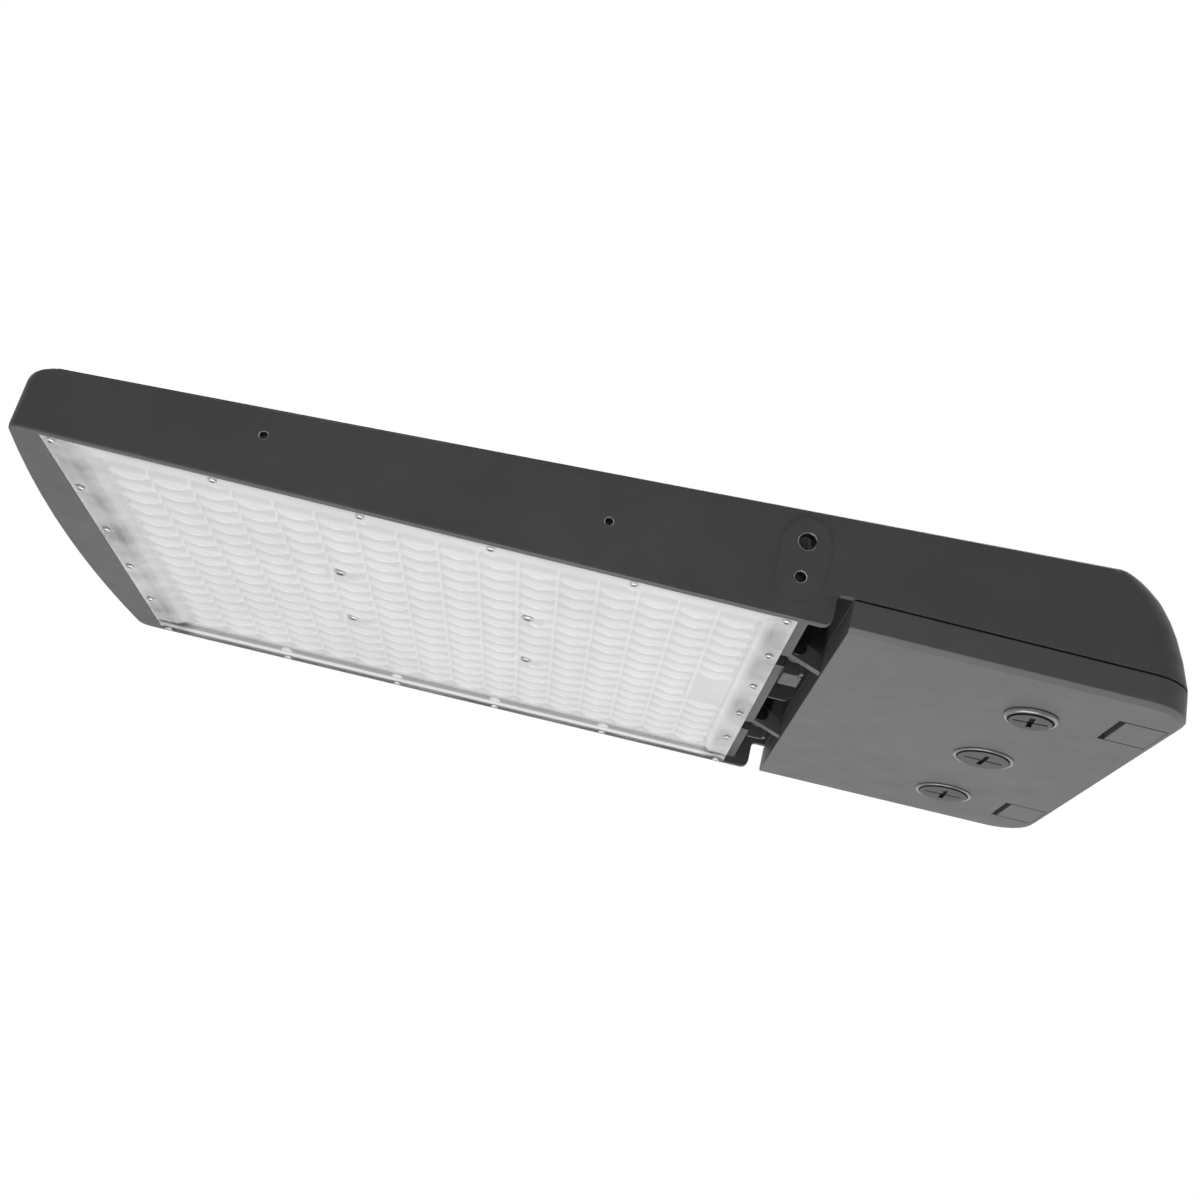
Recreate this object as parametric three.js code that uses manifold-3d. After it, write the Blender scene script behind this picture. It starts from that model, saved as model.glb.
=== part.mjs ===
// Shoebox area light: a die-cast luminaire that hangs in a yoke, with an LED section and a driver box.
// Millimetres, +Z up. X runs from the nose to the tail, and Y across. The origin is the middle of the yoke
// axis, which passes through the big hole of each side wall.

import * as THREE from 'three';
import { mergeVertices } from 'three/addons/utils/BufferGeometryUtils.js';
import Module from 'manifold-3d';

const wasm = await Module();
wasm.setup();

// Driving sizes of the body
const ledLength = 467.5;
const gapLength = 21.3;
const driverLength = 212.7;
const bodyWidth = 336;
const noseHeight = 39;
const topSlope = THREE.MathUtils.degToRad(3.8);
const sideDraft = THREE.MathUtils.degToRad(0.8);
const seamHeight = 20;
const seamGap = 1.2;
const yokeSetback = 12;
const yokeHeight = 48;

// Walls of the casting
const sideWall = 5;
const endWall = 6;
const skin = 4;
const bulkheadWall = 4;
const tailWall = 4.5;
const noseWall = 9;

// Round stretches of the outline
const noseRadius = 1240;
const noseCornerRadius = 8;
const tailCornerRadius = 30;
const topEdgeRadius = 4.5;
const bottomEdgeBreak = 1;
const noseSetback = 12;
const tailSetback = 60;
const notchRadius = 5.5;
const notchWidth = 10;

// Heat sink above the LED chamber
const chamberHeight = 14;
const plateThickness = 4;
const finCount = 11;
const finThickness = 3;
const finDrop = 2.5;
const finPocketRadius = 4;
const finTailWall = 9;

// Holes of the side walls
const yokeBoltRadius = 5.4;
const lockBoltRadius = 3.4;
const lockBoltDrop = 22.5;
const padWidth = 30;
const padRise = 0.6;
const shieldHoleRadius = 2.3;
const shieldHoleHeight = 30.4;
const shieldHoleSetback = 113.6;
const shieldHoleSpacing = 198;

// Lens panel
const lensFrontRim = 28.3;
const lensTailRim = 7.7;
const lensSideRim = 4.5;
const lensCornerRadius = 3;
const flangeThickness = 2.5;
const flangeWidth = 14;
const lensWall = 3;
const fieldDepth = 5.5;
const fieldThickness = 2.5;
const columnPitch = 24;
const rowPitch = 17.3;
const fieldTailBorder = 5.8;
const fieldLeastBorder = 6;
const bumpHeight = 3;
const crestSetbackShare = 0.32;
const crestInsetShare = 0.28;
const fieldScrewSetback = 225;
const fieldScrewSpacingX = 120.5;
const fieldScrewSpacingY = 86;
const fieldPostRadius = 4.5;
const stripHeight = 6;

// Seals
const lensGasketWidth = 4.5;
const lensGasketThickness = 1.2;
const lensGasketMargin = 0.7;
const doorGasketWidth = 1.8;
const doorGasketInset = 2.5;
const doorGrooveDepth = 1.6;

// LED boards
const boardThickness = 1.6;
const boardMargin = 5;

// Door
const doorWall = 5;
const doorFloor = 3.5;
const doorChamferWidth = 2.8;
const doorChamferHeight = 2.8;
const doorRibHeight = 5;
const doorRibThickness = 2;
const doorRibCount = 3;

// Hinge: a pin in each arm of the door sits in a web of the casting
const hingeSideMargin = 92;
const hingePinSetback = 5;
const hingePinHeight = 15.5;
const hingePinRadius = 3;
const hingeHeadRadius = 5;
const hingeHeadThickness = 1.5;
const knuckleRadius = 6.5;
const armThickness = 7;
const armFoot = 3.2;
const armTop = 15;
const armRootAngle = 70;
const armUndercutAngle = 12;
const webThickness = 3;
const webRadius = 6.5;
const cradleWall = 2.5;
const cradleReach = 12.4;
const cradleFoot = 1.7;
const cradleOffset = 10.8;
const armNotchWidth = 19;
const armNotchHeight = 25;
const armNotchDepth = 6.8;

// Rib and cable duct in the hinge gap
const gapRibThickness = 2;
const gapRibOffset = 10;
const gapRibFoot = 9;
const gapRibReach = 19;
const ductWidth = 20;
const ductRise = 14;
const ductRadius = 4.2;
const ductEntryHeight = 9;
const bushFlangeRadius = 7;
const bushFlangeThickness = 2;
const bushBoreRadius = 3.2;

// Latches at the tail of the door
const latchSideMargin = 56;
const latchWidth = 39;
const latchLength = 26.2;
const latchTravel = 4;
const latchTailMargin = 5.7;
const latchPlate = 3.2;
const latchWing = 4;
const latchWingThickness = 2;
const latchPostWidth = 18;
const latchPostThickness = 5;
const latchPostSetback = 14.5;
const latchHookReach = 7.5;
const latchHookHeight = 24;
const latchHookThickness = 3;
const guideStrap = 1.2;
const guideLength = 5;
const guideFoot = 7;
const guideSetback = 4;
const springRadius = 3.2;
const springWire = 0.9;
const springTurns = 6;
const springStepsPerTurn = 6;
const springSides = 4;
const springHeight = 10.5;
const springLength = 16;
const springLugThickness = 3;
const springLugWidth = 12;
const keeperThickness = 0.8;
const keeperWidth = 16;
const keeperHeight = 18;
const keeperBite = 3.5;
const keeperRelief = 0.5;

// Closure plugs of the conduit entries: a small one on the near side and two larger ones
const plugSideMargin = 66;
const plugSetback = 82;
const plugRadius = 20.6;
const plugThreadRadius = 16.7;
const plugRim = 1.5;
const plugFace = 2.3;
const smallPlugRadius = 17.2;
const smallPlugThreadRadius = 13.4;
const smallPlugRim = 3.2;
const smallPlugFace = 4.2;
const plugRimWall = 1.6;
const plugGrooveWidth = 0.9;
const plugGrooveDepth = 0.7;
const plugThreadLength = 9;
const plugEdgeRadius = 0.6;
const plugSlotWidth = 3.4;
const plugSlotDepth = 1.2;
const plugSlotShare = 1.2;
const plugLineWidth = 1.2;
const plugLineDepth = 0.6;
const plugLineShare = 1.5;
const plugTurns = [-8, 1, -4];
const plugSealOffset = 1.3;
const plugSealWire = 0.8;
const entryBossWall = 3.5;
const entryBossHeight = 6;

// Gear in the driver box
const trayDrop = 7.7;
const trayThickness = 1.5;
const trayFrontMargin = 10;
const trayTailMargin = 48.7;
const trayNear = 92;
const trayFar = 90;
const trayFlange = 8;
const trayPostRadius = 5;
const trayPostMargin = 9;
const driverCaseWidth = 68;
const driverCaseHeight = 35;
const driverCaseRadius = 3;
const driverEndMargin = 2;
const driverOffset = -42;
const driverTab = 10;
const driverTabWidth = 30;
const driverTabThickness = 1.6;
const surgeLength = 52;
const surgeWidth = 34;
const surgeHeight = 28;
const surgeFrontMargin = 22;
const surgeOffset = 48;
const terminalLength = 22;
const terminalWidth = 50;
const terminalHeight = 17;
const terminalFrontMargin = 100;
const terminalOffset = 48;
const terminalPoles = 5;
const terminalPortRadius = 2.2;
const terminalPortDepth = 5;

// Fasteners and wires
const smallScrewRadius = 2;
const smallHeadRadius = 3.8;
const smallHeadHeight = 2.2;
const smallCrownShare = 0.7;
const smallScrewLength = 6.5;
const groundScrewLength = 5;
const wireRadius = 1.1;
const wireSpacing = 2.8;
const liveLeadReach = 14;
const neutralLeadReach = 20;

// Clearances and helpers for cuts
const gap = 0.3;
const play = 0.4;
const overrun = 5;
const seatRelief = 0.6;

// Steps of round shapes
const cornerSteps = 6;
const noseArcSteps = 10;
const roundSteps = 20;
const smallRoundSteps = 8;
const wireSides = 6;
const wireSteps = 24;
const shortWireSteps = 20;
const mergeTolerance = 1e-5;

// Places that follow from the sizes
const noseX = yokeSetback - ledLength;
const ledEndX = yokeSetback;
const doorFrontX = ledEndX + gapLength;
const tailX = doorFrontX + driverLength;
const halfWidth = bodyWidth / 2;
const lensFrontX = noseX + lensFrontRim;
const lensTailX = ledEndX - lensTailRim;
const lensHalf = halfWidth - lensSideRim;
const ledgeHeight = flangeThickness + lensGasketThickness + 2 * gap;
const fieldTailX = lensTailX - flangeWidth - fieldTailBorder;
const fieldLeastMargin = flangeWidth + fieldLeastBorder;
const lensGasketInset = flangeWidth - lensGasketWidth - lensGasketMargin;
const columnCount = Math.floor((fieldTailX - lensFrontX - fieldLeastMargin) / columnPitch);
const rowCount = Math.floor(2 * (lensHalf - fieldLeastMargin) / rowPitch);
const fieldFrontX = fieldTailX - columnCount * columnPitch;
const fieldHalf = rowCount * rowPitch / 2;
const plateTop = chamberHeight + plateThickness;
const hingeX = ledEndX + hingePinSetback;
const doorTop = seamHeight - seamGap / 2;
const boxBottom = seamHeight + seamGap / 2;
const ductExitHeight = boxBottom + bushFlangeRadius + play;
const compartmentFrontX = doorFrontX + bulkheadWall;
const notchX = doorFrontX - notchWidth;
const hingeSpacing = bodyWidth - 2 * hingeSideMargin;
const latchSpacing = bodyWidth - 2 * latchSideMargin;
const plugSpacing = halfWidth - plugSideMargin;
const trayHeight = topAt(compartmentFrontX) - skin - trayDrop;
const latchTailX = tailX - latchTailMargin;
const plugX = tailX - plugSetback;
const fieldScrewX = ledEndX - fieldScrewSetback;

function topAt(x) {
  return noseHeight + (x - noseX) * Math.tan(topSlope);
}

// Shares of the height and of the setback where the nose and the tail lean back
const noseCurveShares = [
  [0, 0.04], [0.05, 0], [0.77, 0], [0.846, 0.06], [0.91, 0.17], [0.96, 0.36], [1, 0.67], [1.026, 1],
];
const tailCurveShares = [
  [0, 0.01], [0.035, 0], [0.24, 0.01], [0.444, 0.09], [0.607, 0.18], [0.724, 0.267],
  [0.818, 0.362], [0.888, 0.475], [0.934, 0.567], [0.964, 0.667], [1, 1],
];

function curveAt(shares, share) {
  if (share <= shares[0][0]) return shares[0][1];
  for (let i = 1; i < shares.length; i++) {
    const [low, lowValue] = shares[i - 1];
    const [high, highValue] = shares[i];
    if (share <= high) return lowValue + (highValue - lowValue) * (share - low) / (high - low);
  }
  return shares[shares.length - 1][1];
}

function noseAt(z) {
  return noseX + noseSetback * curveAt(noseCurveShares, z / noseHeight);
}

function tailAt(z) {
  return tailX - tailSetback * curveAt(tailCurveShares, z / topAt(tailX));
}

function sideAt(z) {
  const lean = Math.max(0, z - bottomEdgeBreak) * Math.tan(sideDraft);
  return halfWidth - Math.max(0, bottomEdgeBreak - z) - lean;
}

// Geometry helpers
function solidOf(geometry) {
  const bare = geometry.clone();
  bare.deleteAttribute('normal');
  bare.deleteAttribute('uv');
  const merged = mergeVertices(bare, mergeTolerance);
  const mesh = new wasm.Mesh({
    numProp: 3,
    vertProperties: new Float32Array(merged.attributes.position.array),
    triVerts: new Uint32Array(merged.index.array),
  });
  return new wasm.Manifold(mesh);
}

function geometryOf(solid) {
  const mesh = solid.getMesh();
  const geometry = new THREE.BufferGeometry();
  geometry.setAttribute('position', new THREE.BufferAttribute(mesh.vertProperties, mesh.numProp));
  geometry.setIndex(new THREE.BufferAttribute(mesh.triVerts, 1));
  geometry.computeVertexNormals();
  return geometry;
}

function union(solids) {
  return solids.reduce((whole, piece) => whole.add(piece));
}

// A prism along an axis: points are (x, y) along Z, (x, z) along Y and (y, z) along X
function prism(axis, points, low, high) {
  const shape = new THREE.Shape(points.map(([a, b]) => new THREE.Vector2(a, b)));
  const geometry = new THREE.ExtrudeGeometry(shape, { depth: high - low, bevelEnabled: false });
  const matrix = new THREE.Matrix4();
  const [x, y, z] = [new THREE.Vector3(1, 0, 0), new THREE.Vector3(0, 1, 0), new THREE.Vector3(0, 0, 1)];
  if (axis === 'z') matrix.makeTranslation(0, 0, low);
  if (axis === 'y') matrix.makeBasis(x, z, y.negate()).setPosition(0, high, 0);
  if (axis === 'x') matrix.makeBasis(y, z, x).setPosition(low, 0, 0);
  return solidOf(geometry.applyMatrix4(matrix));
}

function arc(centreX, centreY, radius, from, to, steps) {
  const points = [];
  for (let i = 0; i <= steps; i++) {
    const angle = THREE.MathUtils.degToRad(from + (to - from) * i / steps);
    points.push([centreX + radius * Math.cos(angle), centreY + radius * Math.sin(angle)]);
  }
  return points;
}

function circle(centreX, centreY, radius, steps) {
  return arc(centreX, centreY, radius, 0, 360, steps).slice(0, steps);
}

function roundedBox(lowX, highX, lowY, highY, radius, steps = cornerSteps / 2) {
  return [
    ...arc(highX - radius, highY - radius, radius, 0, 90, steps),
    ...arc(lowX + radius, highY - radius, radius, 90, 180, steps),
    ...arc(lowX + radius, lowY + radius, radius, 180, 270, steps),
    ...arc(highX - radius, lowY + radius, radius, 270, 360, steps),
  ];
}

function rectangle(lowX, highX, lowY, highY) {
  return [[lowX, lowY], [highX, lowY], [highX, highY], [lowX, highY]];
}

// A tapered form through outlines of equal count, each at its own height
function loft(levels) {
  const count = levels[0].points.length;
  const positions = [];
  const indices = [];
  for (const { z, points } of levels) {
    for (const [x, y] of points) positions.push(x, y, z);
  }
  for (let level = 1; level < levels.length; level++) {
    for (let i = 0; i < count; i++) {
      const a = (level - 1) * count + i;
      const b = (level - 1) * count + (i + 1) % count;
      indices.push(a, b, b + count, a, b + count, a + count);
    }
  }
  const last = (levels.length - 1) * count;
  const flat = levels[0].points.map(([x, y]) => new THREE.Vector2(x, y));
  for (const [a, b, c] of THREE.ShapeUtils.triangulateShape(flat, [])) {
    indices.push(a, c, b, last + a, last + b, last + c);
  }
  const geometry = new THREE.BufferGeometry();
  geometry.setAttribute('position', new THREE.Float32BufferAttribute(positions, 3));
  geometry.setIndex(indices);
  return solidOf(geometry);
}

function rod(radius, from, to, steps = smallRoundSteps) {
  const start = new THREE.Vector3(...from);
  const end = new THREE.Vector3(...to);
  const direction = end.clone().sub(start);
  const geometry = new THREE.CylinderGeometry(radius, radius, direction.length(), steps);
  geometry.applyQuaternion(new THREE.Quaternion().setFromUnitVectors(
    new THREE.Vector3(0, 1, 0), direction.normalize()));
  const middle = start.add(end).multiplyScalar(1 / 2);
  return solidOf(geometry.translate(middle.x, middle.y, middle.z));
}

// A turned piece: profile points are (radius, z) from one end of the axis to the other
function turned(points, steps = roundSteps) {
  const profile = points.map(([radius, z]) => new THREE.Vector2(radius, z));
  return new THREE.LatheGeometry(profile, steps).rotateX(Math.PI / 2);
}

// A turned ring, whose profile closes on itself
function turnedRing(points, steps = roundSteps) {
  return turned([...points, points[0]], steps);
}

function tube(points, radius, sides, steps) {
  const curve = new THREE.CatmullRomCurve3(points.map((point) => new THREE.Vector3(...point)));
  const section = new THREE.Shape(circle(0, 0, radius, sides).map(([a, b]) => new THREE.Vector2(a, b)));
  return new THREE.ExtrudeGeometry(section, { extrudePath: curve, steps, bevelEnabled: false });
}

// Outlines of the body
function bodyOutline(nose, tail, half) {
  const reach = half - noseCornerRadius;
  const inner = noseRadius - noseCornerRadius;
  const turn = THREE.MathUtils.radToDeg(Math.asin(reach / inner));
  const centreX = nose + noseRadius;
  const cornerX = centreX - Math.sqrt(inner * inner - reach * reach);
  const tailCornerX = tail - tailCornerRadius;
  const tailCornerY = half - tailCornerRadius;
  return [
    ...arc(tailCornerX, tailCornerY, tailCornerRadius, 0, 90, cornerSteps),
    ...arc(cornerX, reach, noseCornerRadius, 90, 180 - turn, cornerSteps / 2),
    ...arc(centreX, 0, noseRadius, 180 - turn, 180 + turn, noseArcSteps).slice(1, noseArcSteps),
    ...arc(cornerX, -reach, noseCornerRadius, 180 + turn, 270, cornerSteps / 2),
    ...arc(tailCornerX, -tailCornerY, tailCornerRadius, 270, 360, cornerSteps),
  ];
}

function boxOutline(front, tail, half, radius) {
  return [
    ...arc(tail - radius, half - radius, radius, 0, 90, cornerSteps),
    [front, half],
    [front, -half],
    ...arc(tail - radius, radius - half, radius, 270, 360, cornerSteps),
  ];
}

// All that lies under the sloping top, lowered by a drop
function underTop(drop) {
  const half = halfWidth;
  const top = -drop * Math.cos(topSlope);
  const section = [
    [half, -bodyWidth],
    ...arc(half - topEdgeRadius, top - topEdgeRadius, topEdgeRadius, 0, 90, cornerSteps / 2),
    ...arc(topEdgeRadius - half, top - topEdgeRadius, topEdgeRadius, 90, 180, cornerSteps / 2),
    [-half, -bodyWidth],
  ];
  const bodyLength = ledLength + gapLength + driverLength;
  const slab = prism('x', section, -bodyLength / 2, bodyLength + bodyLength / 2);
  const slope = new THREE.Matrix4().makeRotationY(-topSlope).setPosition(noseX, 0, noseHeight);
  return slab.transform(slope.toArray());
}

function heights(low, high) {
  const nose = noseCurveShares.map(([share]) => share * noseHeight);
  const tail = tailCurveShares.map(([share]) => share * topAt(tailX));
  const between = [...nose, ...tail, bottomEdgeBreak].filter((z) => z > low && z < high);
  return [low, ...between.sort((a, b) => a - b), high];
}

// Materials
const charcoal = new THREE.MeshStandardMaterial({ color: 0x3f4042, roughness: 0.62, metalness: 0.25 });
const doorGrey = new THREE.MeshStandardMaterial({ color: 0x444547, roughness: 0.6, metalness: 0.25 });
const clearLens = new THREE.MeshStandardMaterial({ color: 0xdcdde0, roughness: 0.25, metalness: 0 });
const blackRubber = new THREE.MeshStandardMaterial({ color: 0x1a1a1b, roughness: 0.85, metalness: 0 });
const whiteBoard = new THREE.MeshStandardMaterial({ color: 0xe9e9e4, roughness: 0.55, metalness: 0 });
const steel = new THREE.MeshStandardMaterial({ color: 0xb4b6b8, roughness: 0.35, metalness: 0.9 });
const zincPlate = new THREE.MeshStandardMaterial({ color: 0xa9acae, roughness: 0.45, metalness: 0.8 });
const driverCase = new THREE.MeshStandardMaterial({ color: 0xd6d8d9, roughness: 0.4, metalness: 0.7 });
const blackPlastic = new THREE.MeshStandardMaterial({ color: 0x202123, roughness: 0.5, metalness: 0 });
const whitePlastic = new THREE.MeshStandardMaterial({ color: 0xe4e4df, roughness: 0.5, metalness: 0 });
const plugGrey = new THREE.MeshStandardMaterial({ color: 0x4a4b4d, roughness: 0.55, metalness: 0.1 });
const redWire = new THREE.MeshStandardMaterial({ color: 0xa02622, roughness: 0.5, metalness: 0 });
const blackWire = new THREE.MeshStandardMaterial({ color: 0x161616, roughness: 0.5, metalness: 0 });
const whiteWire = new THREE.MeshStandardMaterial({ color: 0xdcdcd6, roughness: 0.5, metalness: 0 });
const greenWire = new THREE.MeshStandardMaterial({ color: 0x2c7a3a, roughness: 0.5, metalness: 0 });

const areaLight = new THREE.Group();
const body = new THREE.Group();
body.position.z = -yokeHeight;
areaLight.add(body);

function addPiece(name, shape, material) {
  const geometry = shape.isBufferGeometry ? shape : geometryOf(shape);
  const mesh = new THREE.Mesh(geometry, material);
  mesh.name = name;
  body.add(mesh);
  return mesh;
}

// Lens outlines: inset moves each edge in from the edge of the panel
function lensOutline(inset, radius = lensCornerRadius) {
  return roundedBox(lensFrontX + inset, lensTailX - inset, inset - lensHalf, lensHalf - inset, radius);
}

function fieldOutline(margin) {
  return roundedBox(
    fieldFrontX - margin, fieldTailX + margin, -fieldHalf - margin, fieldHalf + margin, lensCornerRadius);
}

function fieldScrewPlaces() {
  const places = [];
  for (const along of [-1, 1]) {
    for (const across of [-1, 1]) {
      places.push([fieldScrewX + along * fieldScrewSpacingX / 2, across * fieldScrewSpacingY / 2]);
    }
  }
  return places;
}

function traySpan() {
  return { front: compartmentFrontX + trayFrontMargin, tail: tailX - trayTailMargin };
}

function trayPostPlaces() {
  const { front, tail } = traySpan();
  const places = [];
  for (const x of [front + trayPostMargin, tail - trayPostMargin]) {
    for (const y of [trayPostMargin - trayNear, trayFar - trayPostMargin]) places.push([x, y]);
  }
  return places;
}

// Housing
function bodyForm(inset) {
  const levels = heights(0, topAt(tailX)).map((z) => ({
    z,
    points: bodyOutline(noseAt(z) + inset, tailAt(z) - inset, sideAt(z) - inset),
  }));
  return loft(levels).intersect(underTop(inset));
}

function compartment() {
  const radius = tailCornerRadius - tailWall;
  const levels = heights(boxBottom - overrun, topAt(tailX)).map((z) => ({
    z,
    points: boxOutline(compartmentFrontX, tailAt(z) - tailWall, sideAt(z) - sideWall, radius),
  }));
  return loft(levels).intersect(underTop(skin));
}

function doorZone() {
  const lowest = -overrun;
  const outline = [
    [notchX - notchRadius, lowest],
    ...arc(notchX - notchRadius, notchRadius, notchRadius, 270, 360, cornerSteps / 2),
    ...arc(notchX + notchRadius / 2, boxBottom - notchRadius / 2, notchRadius / 2, 180, 90, cornerSteps / 2),
    [tailX + overrun, boxBottom],
    [tailX + overrun, lowest],
  ];
  return prism('y', outline, -halfWidth - overrun, halfWidth + overrun);
}

function lensSeat() {
  const strip = rectangle(lensTailX, ledEndX + overrun, sideWall - halfWidth, halfWidth - sideWall);
  return union([
    prism('z', lensOutline(-play), -overrun, ledgeHeight),
    prism('z', lensOutline(flangeWidth), 0, chamberHeight),
    prism('z', strip, -overrun, stripHeight),
  ]);
}

function finPockets() {
  const inner = halfWidth - endWall;
  const pocketWidth = (2 * inner - finCount * finThickness) / (finCount + 1);
  const tallest = topAt(ledEndX) + overrun;
  const pockets = [];
  for (let i = 0; i <= finCount; i++) {
    const low = i * (pocketWidth + finThickness) - inner;
    const high = low + pocketWidth;
    const furthest = Math.max(Math.abs(low), Math.abs(high));
    const bow = noseRadius - Math.sqrt(noseRadius * noseRadius - furthest * furthest);
    const front = noseX + bow + noseSetback + noseWall;
    const outline = roundedBox(front, ledEndX - finTailWall, low, high, finPocketRadius);
    pockets.push(prism('z', outline, plateTop, tallest));
  }
  return union(pockets);
}

function finDropCut() {
  const inner = halfWidth - endWall;
  const bow = noseRadius - Math.sqrt(noseRadius * noseRadius - inner * inner);
  const front = noseX + bow + noseSetback + noseWall;
  const outline = roundedBox(front, ledEndX - finTailWall, -inner, inner, finPocketRadius);
  return prism('z', outline, plateTop, topAt(ledEndX) + overrun).subtract(underTop(finDrop));
}

function gapPocket() {
  const half = halfWidth - sideWall;
  const zone = rectangle(ledEndX, doorFrontX, -half, half);
  return prism('z', zone, -overrun, topAt(doorFrontX)).intersect(underTop(skin));
}

function armNotches() {
  const cuts = [];
  for (const side of [-1, 1]) {
    const middle = side * hingeSpacing / 2;
    const outline = roundedBox(ledEndX - armNotchDepth, ledEndX + overrun, 0, armNotchHeight, webThickness);
    cuts.push(prism('y', outline, middle - armNotchWidth / 2, middle + armNotchWidth / 2));
  }
  return union(cuts);
}

// The U-shaped wall and the bearing web that carry one hinge pin, on the far side of its arm
function hingeCradle(side) {
  const webY = side * hingeSpacing / 2 + armThickness / 2 + gap * 2;
  const wallY = side * hingeSpacing / 2 + cradleOffset;
  const reachX = ledEndX + cradleReach;
  const ceiling = topAt(doorFrontX);
  const bendX = reachX - 2 * cradleWall;
  const bendY = wallY - 3 / 2 * cradleWall;
  const wall = prism('z', [
    [ledEndX - gap, wallY - cradleWall / 2],
    ...arc(bendX, bendY, cradleWall, 90, 0, cornerSteps),
    [reachX - cradleWall, webY],
    [reachX, webY],
    ...arc(bendX, bendY, 2 * cradleWall, 0, 90, cornerSteps),
    [ledEndX - gap, wallY + cradleWall / 2],
  ], cradleFoot, ceiling);
  const web = prism('y', [
    ...arc(hingeX, hingePinHeight, webRadius, 180, 360, cornerSteps),
    [reachX, hingePinHeight + webRadius],
    [reachX, ceiling],
    [ledEndX - gap, ceiling],
    [ledEndX - gap, armNotchHeight],
    [hingeX - webRadius, armNotchHeight],
  ], webY, webY + webThickness);
  const bore = rod(hingePinRadius + gap, [hingeX, webY - overrun, hingePinHeight],
    [hingeX, webY + webThickness + gap, hingePinHeight], roundSteps / 2);
  return wall.add(web).subtract(bore);
}

function gapRib() {
  const reach = ledEndX + gapRibReach;
  const outline = [
    [ledEndX - gap, gapRibFoot],
    [reach - notchRadius, gapRibFoot],
    [reach, gapRibFoot + notchRadius],
    [reach, boxBottom],
    [doorFrontX + gap, boxBottom + notchRadius],
    [doorFrontX + gap, topAt(doorFrontX)],
    [ledEndX - gap, topAt(ledEndX)],
  ];
  return prism('y', outline, gapRibOffset - gapRibThickness / 2, gapRibOffset + gapRibThickness / 2);
}

function ductSpan() {
  const near = -hingeSpacing / 2 + cradleOffset + cradleWall / 2;
  return { low: near - gap, high: near + ductWidth, middle: near + ductWidth / 2 };
}

function cableDuct() {
  const { low, high } = ductSpan();
  const reachX = ledEndX + cradleReach;
  const outline = [
    [ledEndX - gap, cradleFoot],
    [reachX, cradleFoot],
    [reachX, boxBottom + gap],
    [doorFrontX + gap, boxBottom + gap],
    [doorFrontX + gap, ductExitHeight + ductRise],
    [ledEndX - gap, ductEntryHeight + ductRise * 2],
  ];
  return prism('y', outline, low, high);
}

function ductBore() {
  const { middle } = ductSpan();
  const chamberX = lensTailX - flangeWidth - ductRadius;
  const bendX = doorFrontX - ductRadius;
  const entry = [chamberX, middle, ductEntryHeight];
  const bend = [bendX + ductRadius / 2, middle, ductExitHeight];
  const exit = [compartmentFrontX + overrun, middle, ductExitHeight];
  return rod(ductRadius, entry, bend, roundSteps / 2)
    .add(rod(ductRadius, [bendX, middle, ductExitHeight], exit, roundSteps / 2));
}

function sideHoles() {
  const cuts = [];
  const inner = halfWidth - endWall - overrun;
  const outer = halfWidth + overrun;
  for (const side of [-1, 1]) {
    const across = (x, z, radius) => rod(radius, [x, side * inner, z], [x, side * outer, z], roundSteps / 2);
    cuts.push(across(0, yokeHeight, yokeBoltRadius));
    cuts.push(across(0, yokeHeight - lockBoltDrop, lockBoltRadius));
    for (const setback of [shieldHoleSetback, shieldHoleSetback + shieldHoleSpacing]) {
      cuts.push(across(-setback, shieldHoleHeight, shieldHoleRadius));
    }
  }
  return union(cuts);
}

function yokePad(side) {
  const half = padWidth / 2;
  const outline = [
    ...arc(0, yokeHeight, half, 0, 180, cornerSteps),
    ...arc(0, yokeHeight - lockBoltDrop, half, 180, 360, cornerSteps),
  ];
  const face = side * (halfWidth + padRise);
  const root = side * (halfWidth - sideWall / 2);
  return prism('y', outline, Math.min(face, root), Math.max(face, root));
}

function fieldScrewHoles() {
  const end = plateTop - plateThickness / 4;
  const cuts = fieldScrewPlaces().map(([x, y]) =>
    rod(smallScrewRadius + gap, [x, y, chamberHeight - overrun], [x, y, end]));
  return union(cuts);
}

function trayPosts() {
  const foot = trayHeight + trayThickness + gap;
  const head = (x) => topAt(x) - skin / 2;
  const posts = trayPostPlaces().map(([x, y]) => rod(trayPostRadius, [x, y, foot], [x, y, head(x)]));
  const holes = trayPostPlaces().map(([x, y]) =>
    rod(smallScrewRadius + gap, [x, y, foot - overrun], [x, y, head(x) - skin]));
  return union(posts).subtract(union(holes));
}

function keeperLug(side) {
  const { x, low } = keeperPlace();
  const y = side * latchSpacing / 2;
  const outline = [
    [x + gap, low + keeperHeight / 4],
    [tailAt(low) - tailWall / 2, low + keeperHeight / 4],
    [tailAt(low + keeperHeight) - tailWall / 2, low + keeperHeight],
    [x + gap, low + keeperHeight],
  ];
  return prism('y', outline, y - keeperWidth / 2, y + keeperWidth / 2);
}

function keeperSeat(side) {
  const { x, low, tip } = keeperPlace();
  const y = side * latchSpacing / 2;
  const half = keeperWidth / 2 + gap;
  const outline = rectangle(tip, x + gap, low - gap, low + keeperHeight + gap);
  return prism('y', outline, y - half, y + half);
}

function housing() {
  const shell = bodyForm(0)
    .add(union([yokePad(-1), yokePad(1)]))
    .subtract(lensSeat())
    .subtract(gapPocket())
    .subtract(doorZone())
    .subtract(compartment())
    .subtract(finPockets())
    .subtract(finDropCut())
    .subtract(armNotches());
  const inside = union([
    hingeCradle(-1), hingeCradle(1), gapRib(), cableDuct(), trayPosts(), keeperLug(-1), keeperLug(1),
  ]);
  return shell
    .add(inside.intersect(bodyForm(skin / 2)))
    .subtract(ductBore())
    .subtract(union([keeperSeat(-1), keeperSeat(1)]))
    .subtract(sideHoles())
    .subtract(fieldScrewHoles());
}

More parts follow.
